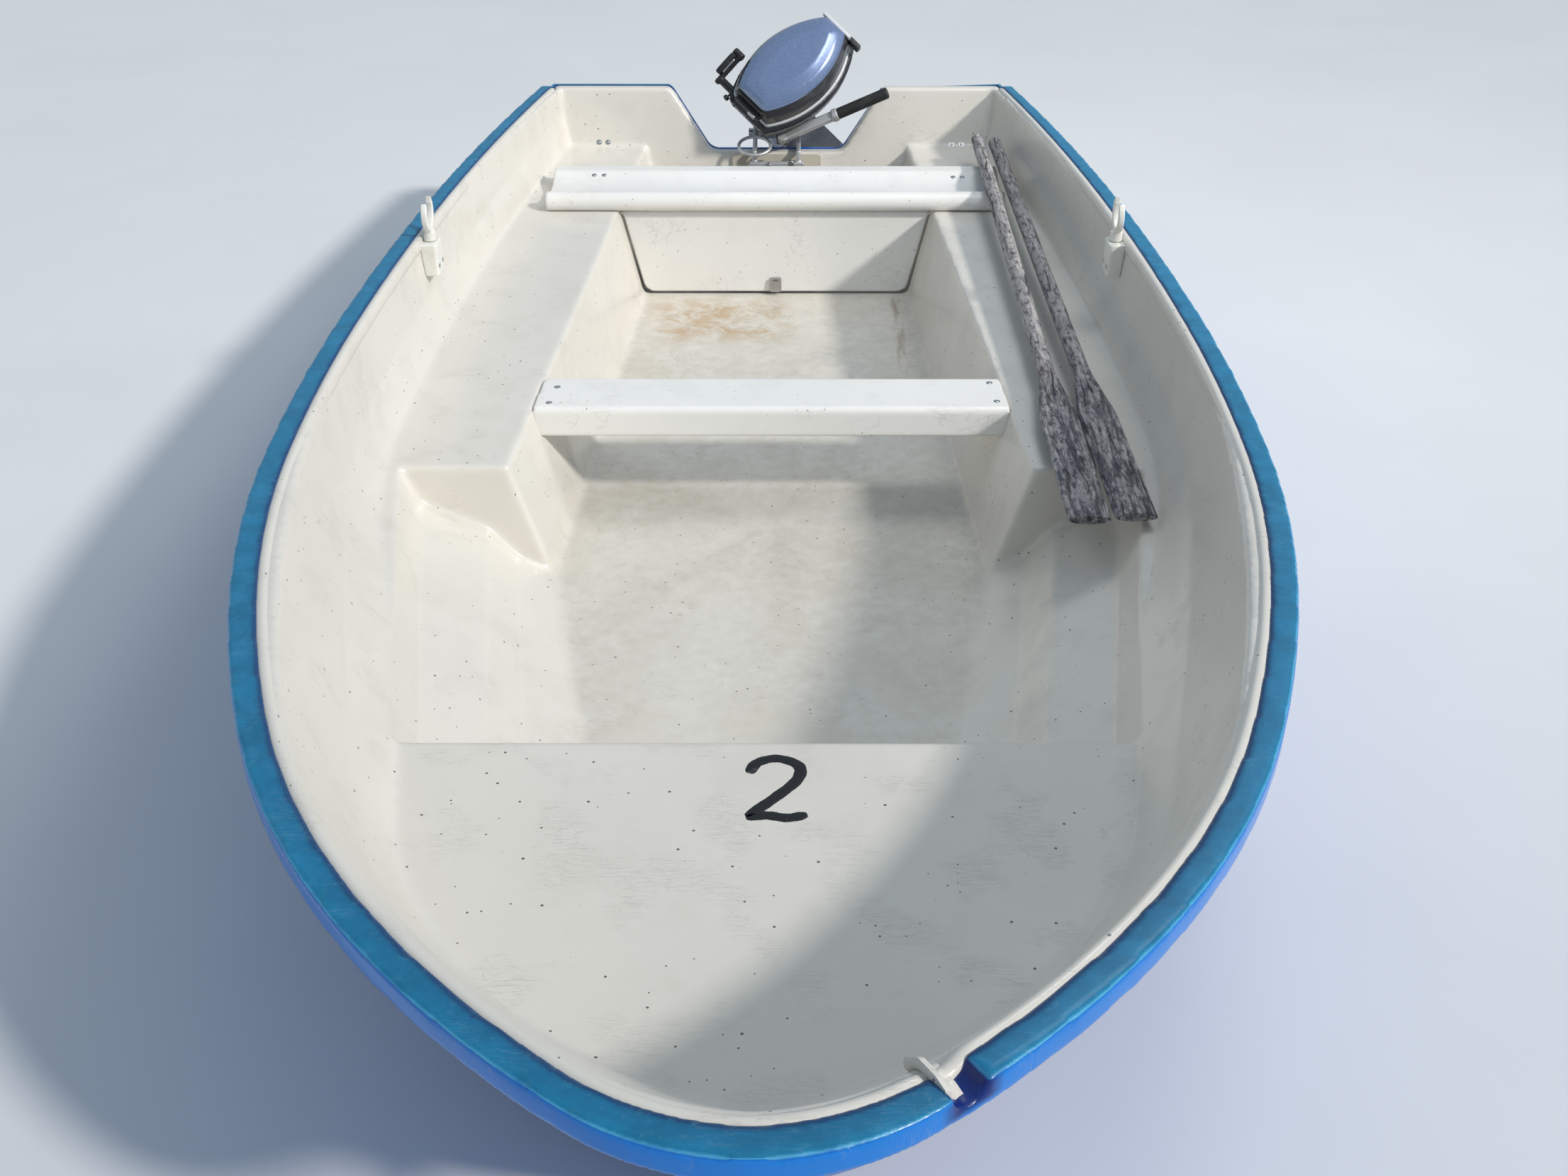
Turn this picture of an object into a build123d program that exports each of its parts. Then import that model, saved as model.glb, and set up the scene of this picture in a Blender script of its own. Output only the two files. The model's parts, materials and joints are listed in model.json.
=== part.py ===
"""Small open moulded motorboat with a tilted outboard. Millimetres, bow towards -Y, port towards +X, +Z up.
The origin is on the centreline at the waterline. The motor's pieces are drawn in its own upright frame, whose
origin is on the tilt axis, and are then set by their planes at the tilted and turned place in which it rests."""

import os
from math import atan2, degrees, pi, radians, tan

from build123d import *

os.makedirs("parts", exist_ok=True)

# Boat, overall
HALF_BEAM = 800.0  # over the rubbing strake
TIP_Y = -2000.0  # foremost point of the strake
WIDE_Y = -50.0  # station of the greatest beam
STERN_Y = 1850.0  # outer face of the transom at its top edge
STERN_HALF = 655.0
RAKE = 12.0  # transom, degrees off vertical
SHEER_BOW, SHEER_MID, SHEER_STERN = 546.0, 464.0, 405.0  # height of the rim above the water
# Where the bow's arcs meet: share of the half beam, and of the way from the widest station to the tip
SHOULDER = [(0.9724, 0.2837), (0.7493, 0.6805), (0.2053, 0.9707)]
REACH = 3 * HALF_BEAM  # how far a block that only trims runs out on each side

# Shell
SKIN = 8.0  # outer skin
TRANSOM_SKIN = 10.0
BOND = 0.4  # gap between skin and liner
KEEL_Z = -150.0
STRAKE_W, STRAKE_H, STRAKE_RISE = 38.0, 28.0, 5.0
STERN_BAND = 40.0  # where the strake ends, forward of the transom
NOTCH_X, NOTCH_Y, NOTCH_R = 163.0, -1880.0, 20.0  # mooring line's notch in the rim
NOTCH_WAY = (0.55, -0.835, 0)  # the way it leads out

# Liner
FLOOR_Z = 20.0
BENCH_Z = 250.0  # benches and bow platform
BENCH_FRONT = -200.0
PLATFORM_Y = -1030.0
WELL_AFT = 1715.0  # where the channel's width is given, near the transom
TRANSOM_T = 48.0  # whole transom where the motor clamps
CUT_Z = 235.0  # foot of the transom cut-out
CUT_TOP, CUT_FOOT = 300.0, 185.0  # its half widths
CUT_ROUND, CUT_REACH = 42.0, 350.0  # rounding of its corners, and how far the cutting block runs forward

# Fittings
GAP = 0.3  # seat of one fixed piece on another
THWART_Y, THWART_W, THWART_RISE, THWART_DEEP = 119.0, 150.0, 3.0, 62.0  # the rise is above the benches
SEAT_FRONT, SEAT_BACK, SEAT_HALF = 1195.0, 1455.0, 585.0
DOOR_T, DOOR_GAP, DOOR_Y = 12.0, 6.0, 1232.0
DOOR_PIN_R, DOOR_PIN_L = 4.0, 9.0
ROWLOCK_Y, ROWLOCK_X = 470.0, HALF_BEAM - 76
PIN_R, RUN = 6.5, 0.05

# Motor, in its own frame
TILT, STEER = 48.0, 46.5
TILT_OUT, TILT_UP = 38.0, 30.0  # tilt axis aft of the transom and above the cut-out's foot
SWIVEL_Y = 52.0  # steering axis aft of the tilt axis
SHAFT_R = 15.0
ROD_R = 8.0
PROP_Z, PROP_Y, PROP_R = -520.0, 205.0, 96.0
HUB_R, HUB_L, PITCH, PROP_SHAFT_R = 24.0, 56.0, 180.0, 7.0
COWL_Y = 118.0  # middle of the cowl
COWL_L, COWL_W, COWL_FORE, COWL_AFT = 330.0, 226.0, 130.0, 100.0  # the last two are the widths of its flat ends
PAN_H, BAND_H = 84.0, 12.0
BLOCK_W, BLOCK_L, BLOCK_H, BLOCK_GAP, BLOCK_UP = 106.0, 196.0, 112.0, 5.0, 22.0  # engine in its pocket in the cowl
SCREW_X, SCREW_Z = 46.0, 200.0  # clamp screws


def transom_y(z):
    """Outer face of the raked transom at height z."""
    return STERN_Y + (z - SHEER_STERN) * tan(radians(RAKE))


def outline(half, tip, stern_half, stern_y, full=1.0):
    """Closed plan of the boat: one arc aft, four tangent arcs forward, and the transom's line."""
    points = [(across * half * full, WIDE_Y + along * (tip - WIDE_Y)) for across, along in SHOULDER] + [(0, tip)]
    with BuildSketch() as plan:
        with BuildLine():
            arc = TangentArc((half, WIDE_Y), points[0], tangent=(0, -1))
            for point in points[1:]:
                arc = TangentArc(arc @ 1, point, tangent=arc % 1)
            TangentArc((half, WIDE_Y), (stern_half, stern_y), tangent=(0, 1))
            Line((stern_half, stern_y), (0, stern_y))
            mirror(about=Plane.YZ)
        make_face()
    return plan.sketch


def below_sheer(drop):
    """Block under the curved sheer, lowered by drop."""
    with BuildPart() as block:
        with BuildSketch(Plane.YZ):
            with BuildLine():
                ThreePointArc((TIP_Y, SHEER_BOW - drop), (0, SHEER_MID - drop), (STERN_Y, SHEER_STERN - drop))
                Polyline(
                    (STERN_Y, SHEER_STERN - drop), (STERN_Y + 100, SHEER_STERN - drop - 2), (STERN_Y + 100, -REACH),
                    (TIP_Y - 60, -REACH), (TIP_Y - 60, SHEER_BOW - drop + 3), (TIP_Y, SHEER_BOW - drop),
                )
            make_face()
        extrude(amount=REACH, both=True)
    return block.part


def cut_out():
    """Opening in the transom for the motor, as a block through it."""
    with BuildPart() as block:
        with BuildSketch(Plane.XZ.offset(-(STERN_Y - CUT_REACH))):
            with BuildLine():
                brim, high = SHEER_STERN + 4, SHEER_STERN + 300
                Polyline((0, CUT_Z), (CUT_FOOT, CUT_Z), (CUT_TOP, brim), (CUT_TOP + 90, brim), (CUT_TOP + 90, high), (0, high))
                mirror(about=Plane.YZ)
            make_face()
        extrude(amount=-CUT_REACH - 150)
        fillet(block.edges().filter_by(Axis.Y).group_by(Axis.Z)[1].sort_by(Axis.X)[1:3], CUT_ROUND)
        fillet(block.edges().filter_by(Axis.Y).group_by(Axis.Z)[0], CUT_ROUND)
    return block.part


def sheer_at(y):
    """Height of the rim at station y, near enough for fittings."""
    bow, stern = (SHEER_BOW - SHEER_MID) / TIP_Y, (SHEER_STERN - SHEER_MID) / STERN_Y
    return SHEER_MID + y * (bow if y < 0 else stern)


def line_notch():
    """Trough across the rim at the port bow, in which a mooring line runs."""
    with BuildPart() as trough:
        out = Plane(origin=(NOTCH_X, NOTCH_Y, sheer_at(NOTCH_Y) + NOTCH_R / 3), z_dir=NOTCH_WAY)
        with BuildSketch(out.offset(-90)):
            Circle(NOTCH_R)
        extrude(amount=180)
    return trough.part


# Hull stations: height, half beam, tip of the stem, half transom, fullness forward
HULL = [
    (600.0, HALF_BEAM - 7, TIP_Y + 4, STERN_HALF - 5, 1.0),
    (140.0, HALF_BEAM - 48, TIP_Y + 300, STERN_HALF - 49, 0.98),
    (-20.0, HALF_BEAM - 132, TIP_Y + 460, STERN_HALF - 110, 0.94),
    (KEEL_Z, 45.0, TIP_Y + 850, 40.0, 1.0),
]


def stem_at(z):
    """Foremost point of the hull at height z above the chine."""
    (high, _, fore, _, _), (low, _, aft, _, _) = HULL[:2]
    return aft + (fore - aft) * (z - low) / (high - low)


def hull_form(inset, aft_inset, lift):
    """Hull made smaller all round by inset, and raised at the keel by lift."""
    with BuildPart() as form:
        for z, half, tip, stern_half, full in HULL:
            with BuildSketch(Plane.XY.offset(z + (lift if z < 0 else 0))):
                add(
                    outline(
                        half - min(inset, half / 3),
                        tip + inset * 1.3,
                        stern_half - min(inset, stern_half / 3),
                        transom_y(z) - aft_inset,
                        full,
                    )
                )
        loft(ruled=True)
    return form.part


hull_outer = hull_form(0, 0, 0)
hull_inner = hull_form(SKIN, TRANSOM_SKIN, SKIN)
liner_outer = hull_form(SKIN + BOND, TRANSOM_SKIN + BOND, SKIN + BOND)
rim_inner = HALF_BEAM - STRAKE_W
rim_tip = TIP_Y + STRAKE_W + 2
rim_stern = STERN_HALF - STRAKE_W + 4

# Outer skin, with its transom up to the rim and its sides up to the strake
with BuildPart() as hull_skin:
    add(hull_outer)
    add(hull_inner, mode=Mode.SUBTRACT)
    add(below_sheer(0), mode=Mode.INTERSECT)
    with BuildPart(mode=Mode.PRIVATE) as strake_seat:
        add(below_sheer(-200))
        add(below_sheer(STRAKE_H + GAP), mode=Mode.SUBTRACT)
        with Locations((0, STERN_Y - STERN_BAND, SHEER_STERN)):
            Box(REACH, 2 * REACH, REACH, align=(Align.CENTER, Align.MAX, Align.CENTER), mode=Mode.INTERSECT)
    add(strake_seat.part, mode=Mode.SUBTRACT)
    add(cut_out(), mode=Mode.SUBTRACT)
hull_skin.part.label = "hull_skin"
export_step(hull_skin.part, "parts/hull_skin.step")

# Stepped sides of the forward well: height and half width aft, height and half width at the platform
STEPS = [
    (FLOOR_Z, 402.0, 30.0, 240.0),
    (62.0, 478.0, 74.0, 352.0),
    (122.0, 530.0, 132.0, 404.0),
    (176.0, 648.0, 184.0, 498.0),
    (BENCH_Z + 1, 684.0, BENCH_Z + 1, 524.0),
    (BENCH_Z + 60, 684.0, BENCH_Z + 60, 524.0),
]
# Upper cavity: height, half beam, tip, half width at the transom, fullness forward
SIDES = [
    (BENCH_Z, HALF_BEAM - 88, TIP_Y + 310, STERN_HALF - 67, 0.93),
    (BENCH_Z + 80, HALF_BEAM - 58, TIP_Y + 240, STERN_HALF - 51, 0.96),
    (600.0, HALF_BEAM - 32, TIP_Y + 8, STERN_HALF - 34, 1.0),
]
# Channel between the benches: half widths at the floor and at bench height, forward and aft
FOOT_FORE, FOOT_AFT, EDGE_FORE, EDGE_AFT = 412.0, 325.0, 482.0, 374.0
ABOVE = 20.0  # how far the channel's walls are drawn on above the benches


def along_well(fore, aft, y):
    """Half width at station y of a wall that runs from fore to aft."""
    return fore + (aft - fore) * (y - BENCH_FRONT) / (WELL_AFT - BENCH_FRONT)


def drawn_on(foot, edge):
    """Half width of the wall carried on above the bench."""
    return foot + (edge - foot) * (BENCH_Z + ABOVE - FLOOR_Z) / (BENCH_Z - FLOOR_Z)


def plank(grow, top):
    """Block of the thwart between the benches' edges, made larger all round by grow and drawn up to height top."""
    with BuildPart() as block:
        with BuildSketch(Plane.XY.offset(BENCH_Z + THWART_RISE - THWART_DEEP - grow)):
            with BuildLine():
                fore, aft = THWART_Y - THWART_W / 2 - grow, THWART_Y + THWART_W / 2 + grow
                half_fore, half_aft = (along_well(EDGE_FORE, EDGE_AFT, y) + grow for y in (fore, aft))
                Polyline((half_fore, fore), (half_aft, aft), (-half_aft, aft), (-half_fore, fore), close=True)
            make_face()
        extrude(amount=top - (BENCH_Z + THWART_RISE - THWART_DEEP - grow))
    return block.part


door_z = BENCH_Z - DOOR_GAP - DOOR_T / 2
door_pin = along_well(EDGE_FORE, EDGE_AFT, DOOR_Y) + DOOR_PIN_L

with BuildPart() as liner:
    add(liner_outer)
    add(below_sheer(STRAKE_H + GAP), mode=Mode.INTERSECT)
    with BuildPart(mode=Mode.PRIVATE) as rim_block:
        with BuildSketch(Plane.XY.offset(SHEER_STERN - 100)):
            add(outline(rim_inner - GAP, rim_tip + GAP, rim_stern - GAP, STERN_Y - STERN_BAND))
        extrude(amount=400)
        add(below_sheer(0), mode=Mode.INTERSECT)
        add(below_sheer(STRAKE_H + GAP), mode=Mode.SUBTRACT)
    add(rim_block.part)
    with BuildPart(mode=Mode.PRIVATE) as stern_block:
        add(liner_outer)
        with Locations((0, STERN_Y - STERN_BAND, 0)):
            Box(REACH, 200, 2 * REACH, align=(Align.CENTER, Align.MIN, Align.CENTER), mode=Mode.INTERSECT)
        add(below_sheer(0), mode=Mode.INTERSECT)
    add(stern_block.part)
    # open upper part
    with BuildPart(mode=Mode.PRIVATE) as upper:
        for z, half, tip, stern_half, full in SIDES:
            with BuildSketch(Plane.XY.offset(z)):
                add(outline(half, tip, stern_half, transom_y(z) - TRANSOM_T, full))
        loft(ruled=True)
    add(upper.part, mode=Mode.SUBTRACT)
    # channel between the benches
    for z, fore, aft in (
        (FLOOR_Z, FOOT_FORE, FOOT_AFT),
        (BENCH_Z + ABOVE, drawn_on(FOOT_FORE, EDGE_FORE), drawn_on(FOOT_AFT, EDGE_AFT)),
    ):
        with BuildSketch(Plane.XY.offset(z)):
            with BuildLine():
                ends = [(x, y) for y, sign in ((transom_y(z) - TRANSOM_T, 1), (BENCH_FRONT - 1, -1))
                        for x in (-sign * along_well(fore, aft, y), sign * along_well(fore, aft, y))]
                Polyline(*ends, close=True)
            make_face()
    loft(ruled=True, mode=Mode.SUBTRACT)
    with Locations(Location((0, DOOR_Y + DOOR_T / 2, door_z), (0, 90, 0))):
        Cylinder(DOOR_PIN_R + RUN, 2 * (door_pin + 2), mode=Mode.SUBTRACT)
    # recess in which the thwart hangs
    add(plank(GAP, BENCH_Z + ABOVE), mode=Mode.SUBTRACT)
    # stepped forward well
    for y, column in ((BENCH_FRONT, 0), (PLATFORM_Y, 2)):
        with BuildSketch(Plane.XZ.offset(-y)):
            with BuildLine():
                side = [(row[column + 1], row[column]) for row in STEPS]
                Polyline(*side, *[(-x, z) for x, z in reversed(side)], close=True)
            make_face()
    loft(ruled=True, mode=Mode.SUBTRACT)
    add(cut_out(), mode=Mode.SUBTRACT)
    add(line_notch(), mode=Mode.SUBTRACT)
liner.part.label = "liner"
export_step(liner.part, "parts/liner.step")

# Rubbing strake round the rim, from corner to corner of the transom
with BuildPart() as rubbing_strake:
    with BuildSketch(Plane.XY.offset(SHEER_STERN - 100)):
        add(outline(HALF_BEAM, TIP_Y, STERN_HALF, STERN_Y))
        add(outline(rim_inner, rim_tip, rim_stern, STERN_Y + 20), mode=Mode.SUBTRACT)
    extrude(amount=400)
    add(below_sheer(-STRAKE_RISE), mode=Mode.INTERSECT)
    add(below_sheer(STRAKE_H), mode=Mode.SUBTRACT)
    with Locations((0, STERN_Y - STERN_BAND - GAP, SHEER_STERN)):
        Box(REACH, 2 * REACH, REACH, align=(Align.CENTER, Align.MAX, Align.CENTER), mode=Mode.INTERSECT)
    add(line_notch(), mode=Mode.SUBTRACT)
rubbing_strake.part.label = "rubbing_strake"
export_step(rubbing_strake.part, "parts/rubbing_strake.step")

# Thwart: a moulded plank, hollow underneath, hung in the benches' edges with its top level with them
with BuildPart() as thwart:
    add(plank(0, BENCH_Z + THWART_RISE))
    fillet(thwart.edges().filter_by(Axis.X).group_by(Axis.Z)[-1], 13)
    with Locations((0, THWART_Y, BENCH_Z + THWART_RISE - THWART_DEEP)):
        Box(2 * (along_well(EDGE_FORE, EDGE_AFT, THWART_Y) - 34), THWART_W - 28, THWART_DEEP - 12,
            align=(Align.CENTER, Align.CENTER, Align.MIN), mode=Mode.SUBTRACT)
thwart.part.label = "thwart"
export_step(thwart.part, "parts/thwart.step")

# Stern seat: dished plank with a rolled front, lying on both benches
with BuildPart() as stern_seat:
    with BuildSketch(Plane.YZ) as seat_side:
        with BuildLine():
            z0 = BENCH_Z + GAP
            Polyline((SEAT_FRONT + 22, z0), (SEAT_BACK, z0), (SEAT_BACK, z0 + 44), (SEAT_BACK - 46, z0 + 44))
            ThreePointArc((SEAT_BACK - 46, z0 + 44), (SEAT_BACK - 120, z0 + 24), (SEAT_FRONT + 58, z0 + 30))
            ThreePointArc((SEAT_FRONT + 58, z0 + 30), (SEAT_FRONT + 10, z0 + 28), (SEAT_FRONT + 22, z0))
        make_face()
    extrude(amount=SEAT_HALF, both=True)
stern_seat.part.label = "stern_seat"
export_step(stern_seat.part, "parts/stern_seat.step")

# Locker door: fills the channel under the seat, hung on pins along its top edge
with BuildPart() as locker_door:
    with BuildSketch(Plane.XZ.offset(-DOOR_Y)):
        foot = along_well(FOOT_FORE, FOOT_AFT, DOOR_Y + DOOR_T) - DOOR_GAP
        top = along_well(EDGE_FORE, EDGE_AFT, DOOR_Y + DOOR_T) - DOOR_GAP - 2
        with BuildLine():
            Polyline(
                (-foot, FLOOR_Z + DOOR_GAP), (foot, FLOOR_Z + DOOR_GAP), (top, BENCH_Z - DOOR_GAP),
                (-top, BENCH_Z - DOOR_GAP), close=True,
            )
        make_face()
    extrude(amount=-DOOR_T)
    fillet(locker_door.edges().filter_by(Axis.Y).group_by(Axis.Z)[0], 34)
    fillet(locker_door.faces().sort_by(Axis.Z)[-1].edges().filter_by(Axis.X), DOOR_T / 2 - 0.1)
    with Locations(Location((0, DOOR_Y + DOOR_T / 2, door_z), (0, 90, 0))):
        Cylinder(DOOR_PIN_R, 2 * door_pin)
locker_door.part.label = "locker_door"
export_step(locker_door.part, "parts/locker_door.step")

with BuildPart() as door_latch:
    with BuildSketch(Plane.XZ.offset(-(DOOR_Y - GAP))):
        with Locations((0, FLOOR_Z + DOOR_GAP + 22)):
            RectangleRounded(30, 38, 5)
    extrude(amount=8)
    with BuildSketch(Plane.XZ.offset(-(DOOR_Y - GAP - 8))):
        with Locations((0, FLOOR_Z + DOOR_GAP + 22)):
            RectangleRounded(14, 26, 3)
    extrude(amount=7)
door_latch.part.label = "door_latch"
export_step(door_latch.part, "parts/door_latch.step")

# Rowlocks: a socket on the inner side of the rim, and a horned crutch that turns in it
socket_top = sheer_at(ROWLOCK_Y) - 8
for side, name in ((-1, "starboard"), (1, "port")):
    with BuildPart() as rowlock_socket:
        with BuildSketch(Plane.XY.offset(socket_top - 70)):
            with Locations((side * (ROWLOCK_X + 4), ROWLOCK_Y)):
                RectangleRounded(44, 58, 8)
        extrude(amount=70)
        add(upper.part, mode=Mode.INTERSECT)
        with Locations((side * ROWLOCK_X, ROWLOCK_Y, socket_top)):
            Hole(PIN_R + RUN, 200)
    rowlock_socket.part.label = "rowlock_socket_" + name
    export_step(rowlock_socket.part, "parts/rowlock_socket_" + name + ".step")
    with BuildPart() as rowlock:
        with BuildSketch(Plane.YZ.offset(side * ROWLOCK_X)):
            base = socket_top + 12
            with Locations((ROWLOCK_Y, base + 46)):
                Circle(38)
                Circle(27, mode=Mode.SUBTRACT)
                Rectangle(46, 60, align=(Align.CENTER, Align.MIN), mode=Mode.SUBTRACT)
        extrude(amount=6.5, both=True)
        with Locations((side * ROWLOCK_X, ROWLOCK_Y, socket_top - 66)):
            Cylinder(PIN_R, base - socket_top + 78, align=(Align.CENTER, Align.CENTER, Align.MIN))
        with Locations((side * ROWLOCK_X, ROWLOCK_Y, socket_top + 0.3)):
            Cylinder(13, base - socket_top + 9, align=(Align.CENTER, Align.CENTER, Align.MIN))
    rowlock.part.label = "rowlock_" + name
    export_step(rowlock.part, "parts/rowlock_" + name + ".step")

# Oars, lying on the port bench with their shafts over the stern seat
OARS = [  # x and y of the grip end, x and y of the blade end, height of the shaft's axis at both ends
    (HALF_BEAM - 252, 1590.0, HALF_BEAM - 255, -440.0, BENCH_Z + 73, BENCH_Z + 25),
    (HALF_BEAM - 208, 1560.0, HALF_BEAM - 174, -430.0, BENCH_Z + 73, BENCH_Z + 25),
]
OAR_R, BLADE_W, BLADE_L, BLADE_T = 17.0, 74.0, 560.0, 16.0
for (x0, y0, x1, y1, z0, z1), name in zip(OARS, ("oar_inner", "oar_outer")):
    start, end = Vector(x0, y0, z0), Vector(x1, y1, z1)
    along = (end - start).normalized()
    long = (end - start).length
    across = Vector(0, 0, 1).cross(along).normalized()
    with BuildPart() as oar:
        with BuildSketch(Plane(origin=start, x_dir=across, z_dir=along)):
            Circle(OAR_R)
        extrude(amount=long - BLADE_L)
        with BuildSketch(Plane(origin=start + along * (long - BLADE_L), x_dir=across, z_dir=along)):
            Circle(OAR_R)
        with BuildSketch(Plane(origin=start + along * (long - BLADE_L + 170), x_dir=across, z_dir=along)):
            Ellipse(BLADE_W / 2, BLADE_T / 2)
        loft()
        with BuildSketch(Plane(origin=start + along * (long - BLADE_L + 170), x_dir=across, z_dir=along)):
            Ellipse(BLADE_W / 2, BLADE_T / 2)
        extrude(amount=BLADE_L - 170)
    oar.part.label = name
    export_step(oar.part, "parts/" + name + ".step")

# Bow eye on the stem, stern eyes and drain plug on the transom, pads where the motor clamps
EYE_Z, EYE_R, EYE_ROD = 360.0, 13.0, 6.0
eye_y = stem_at(EYE_Z) - EYE_R - EYE_ROD
with BuildPart() as bow_eye:
    with BuildSketch(Plane.YZ):
        with Locations((eye_y, EYE_Z)):
            Circle(EYE_R + EYE_ROD)
    extrude(amount=5, both=True)
    with Locations((0, eye_y + EYE_R + EYE_ROD / 2, EYE_Z)):
        Box(26, 24, 62, align=(Align.CENTER, Align.MIN, Align.CENTER))
    with Locations(Location((0, eye_y, EYE_Z), (0, 90, 0))):
        Hole(EYE_R, 40)
    add(hull_form(-GAP, 0, 0), mode=Mode.SUBTRACT)
bow_eye.part.label = "bow_eye"
export_step(bow_eye.part, "parts/bow_eye.step")

STERN_EYE_X, STERN_EYE_Z = STERN_HALF - 185, 300.0
with BuildPart() as stern_eyes:
    for side in (-1, 1):
        face = Plane(origin=(side * STERN_EYE_X, transom_y(STERN_EYE_Z) + GAP, STERN_EYE_Z), x_dir=(1, 0, 0),
                     z_dir=(0, 1, -tan(radians(RAKE))))
        with BuildSketch(face):
            RectangleRounded(30, 64, 6)
        extrude(amount=4)
        with BuildSketch(Plane.YZ.offset(side * STERN_EYE_X)):
            with Locations((transom_y(STERN_EYE_Z) + GAP + 4, STERN_EYE_Z)):
                Circle(19)
                Circle(12, mode=Mode.SUBTRACT)
                Rectangle(60, 60, align=(Align.MAX, Align.CENTER), mode=Mode.SUBTRACT)
        extrude(amount=3.5, both=True)
stern_eyes.part.label = "stern_eyes"
export_step(stern_eyes.part, "parts/stern_eyes.step")

with BuildPart() as drain_plug:
    plug = Plane(origin=(0, transom_y(0) + GAP, 0), x_dir=(1, 0, 0), z_dir=(0, 1, -tan(radians(RAKE))))
    with BuildSketch(plug):
        Circle(22)
    extrude(amount=5)
    with BuildSketch(plug.offset(5)):
        RegularPolygon(11, 6)
    extrude(amount=7)
drain_plug.part.label = "drain_plug"
export_step(drain_plug.part, "parts/drain_plug.step")

PAD_W, PAD_H, PAD_T = 250.0, 120.0, 9.0
pad_z = CUT_Z - 4 - PAD_H / 2
for name, out, sign in (("transom_pad_aft", GAP, 1), ("transom_pad_fore", -TRANSOM_T - GAP, -1)):
    with BuildPart() as pad:
        with BuildSketch(Plane(origin=(0, transom_y(pad_z) + out, pad_z), x_dir=(1, 0, 0),
                               z_dir=(0, sign, -sign * tan(radians(RAKE))))):
            RectangleRounded(PAD_W, PAD_H, 10)
        extrude(amount=PAD_T)
    pad.part.label = name
    export_step(pad.part, "parts/" + name + ".step")

# Motor. TILT_AT carries what tilts, TURN_AT what also steers; both take upright frame places to the photographed pose
axis_y = transom_y(CUT_Z) + TILT_OUT
axis_z = CUT_Z + TILT_UP
TILT_AT = Location((0, axis_y, axis_z), (TILT, 0, 0))
TURN_AT = TILT_AT * Location((0, SWIVEL_Y, 0)) * Location((0, 0, 0), (0, 0, -STEER)) * Location((0, -SWIVEL_Y, 0))


def on(pose, plane):
    """A plane of the upright motor, carried to its place."""
    return Plane(pose * plane.location)


def raked(y, z):
    """Point in the clamp's side view, y aft of the transom's outer face."""
    return transom_y(z) + y, z


CLAMP_X, CLAMP_T = 62.0, 12.0
LOOP_Z, LOOP_R = 262.0, 5.0
jaw = -TRANSOM_T - PAD_T - 2 * GAP - 22.0
with BuildPart() as clamp_bracket:
    for side in (-1, 1):
        with BuildSketch(Plane.YZ.offset(side * CLAMP_X)):
            with BuildLine():
                Polyline(
                    raked(jaw - 16, 252), raked(jaw - 16, SCREW_Z - 26), raked(jaw, SCREW_Z - 26), raked(jaw, CUT_Z + 4),
                    raked(PAD_T + 2 * GAP, CUT_Z + 4), raked(PAD_T + 2 * GAP, 70), raked(46, 70), raked(60, 245),
                    raked(54, 280), raked(24, 284), raked(8, 262), close=True,
                )
            make_face()
        extrude(amount=CLAMP_T / 2, both=True)
    with BuildSketch(Plane.XZ.offset(-raked(jaw - 16, SCREW_Z)[0])):
        with Locations((0, SCREW_Z)):
            Rectangle(2 * CLAMP_X + 30, 44)
    extrude(amount=-16)
    # oval lifting loop on the starboard arm
    loop = Plane(origin=(-CLAMP_X, raked(jaw - 4, LOOP_Z)[0], LOOP_Z), x_dir=(1, 0, 0), z_dir=(0, -0.45, 1))
    with BuildLine(loop) as loop_path:
        EllipticalCenterArc((0, 0), 45, 38, start_angle=0, arc_size=360)
    with BuildSketch(Plane(origin=loop_path.line @ 0, z_dir=loop_path.line % 0)):
        Circle(LOOP_R)
    sweep(path=loop_path.line)
    with BuildSketch(Plane.XZ.offset(-raked(PAD_T + 2 * GAP, 84)[0] - 3)):
        with Locations((0, 84)):
            Rectangle(2 * CLAMP_X, 26)
    extrude(amount=-14)
    with Locations(Location((0, axis_y, axis_z), (0, 90, 0))):
        Hole(ROD_R + RUN, 400)
    for side in (-1, 1):
        with Locations(Location((side * SCREW_X, raked(jaw, SCREW_Z)[0], SCREW_Z), (90, 0, 0))):
            Cylinder(7 + RUN, 90, mode=Mode.SUBTRACT)
clamp_bracket.part.label = "clamp_bracket"
export_step(clamp_bracket.part, "parts/clamp_bracket.step")

with BuildPart() as tilt_rod:
    with Locations(Location((0, axis_y, axis_z), (0, 90, 0))):
        Cylinder(ROD_R, 2 * CLAMP_X + CLAMP_T + 24)
    for side in (-1, 1):
        with Locations(Location((side * (CLAMP_X + CLAMP_T / 2 + 6 + GAP), axis_y, axis_z), (0, 90, 0))):
            Cylinder(14, 12)
tilt_rod.part.label = "tilt_rod"
export_step(tilt_rod.part, "parts/tilt_rod.step")

screw_face = transom_y(SCREW_Z) - TRANSOM_T - PAD_T - 2 * GAP - 20 * tan(radians(RAKE))
with BuildPart() as clamp_screws:
    for side, lean in ((-1, 52), (1, 100)):
        with BuildSketch(Plane.XZ.offset(-screw_face)):
            with Locations((side * SCREW_X, SCREW_Z)):
                Circle(20)
        extrude(amount=7)
        with BuildSketch(Plane.XZ.offset(-screw_face)):
            with Locations((side * SCREW_X, SCREW_Z)):
                Circle(7)
        extrude(amount=92)
        with BuildSketch(Plane.XZ.offset(-screw_face + 80)):
            with Locations((side * SCREW_X, SCREW_Z)):
                SlotOverall(92, 17, rotation=lean)
        extrude(amount=12)
clamp_screws.part.label = "clamp_screws"
export_step(clamp_screws.part, "parts/clamp_screws.step")

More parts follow.
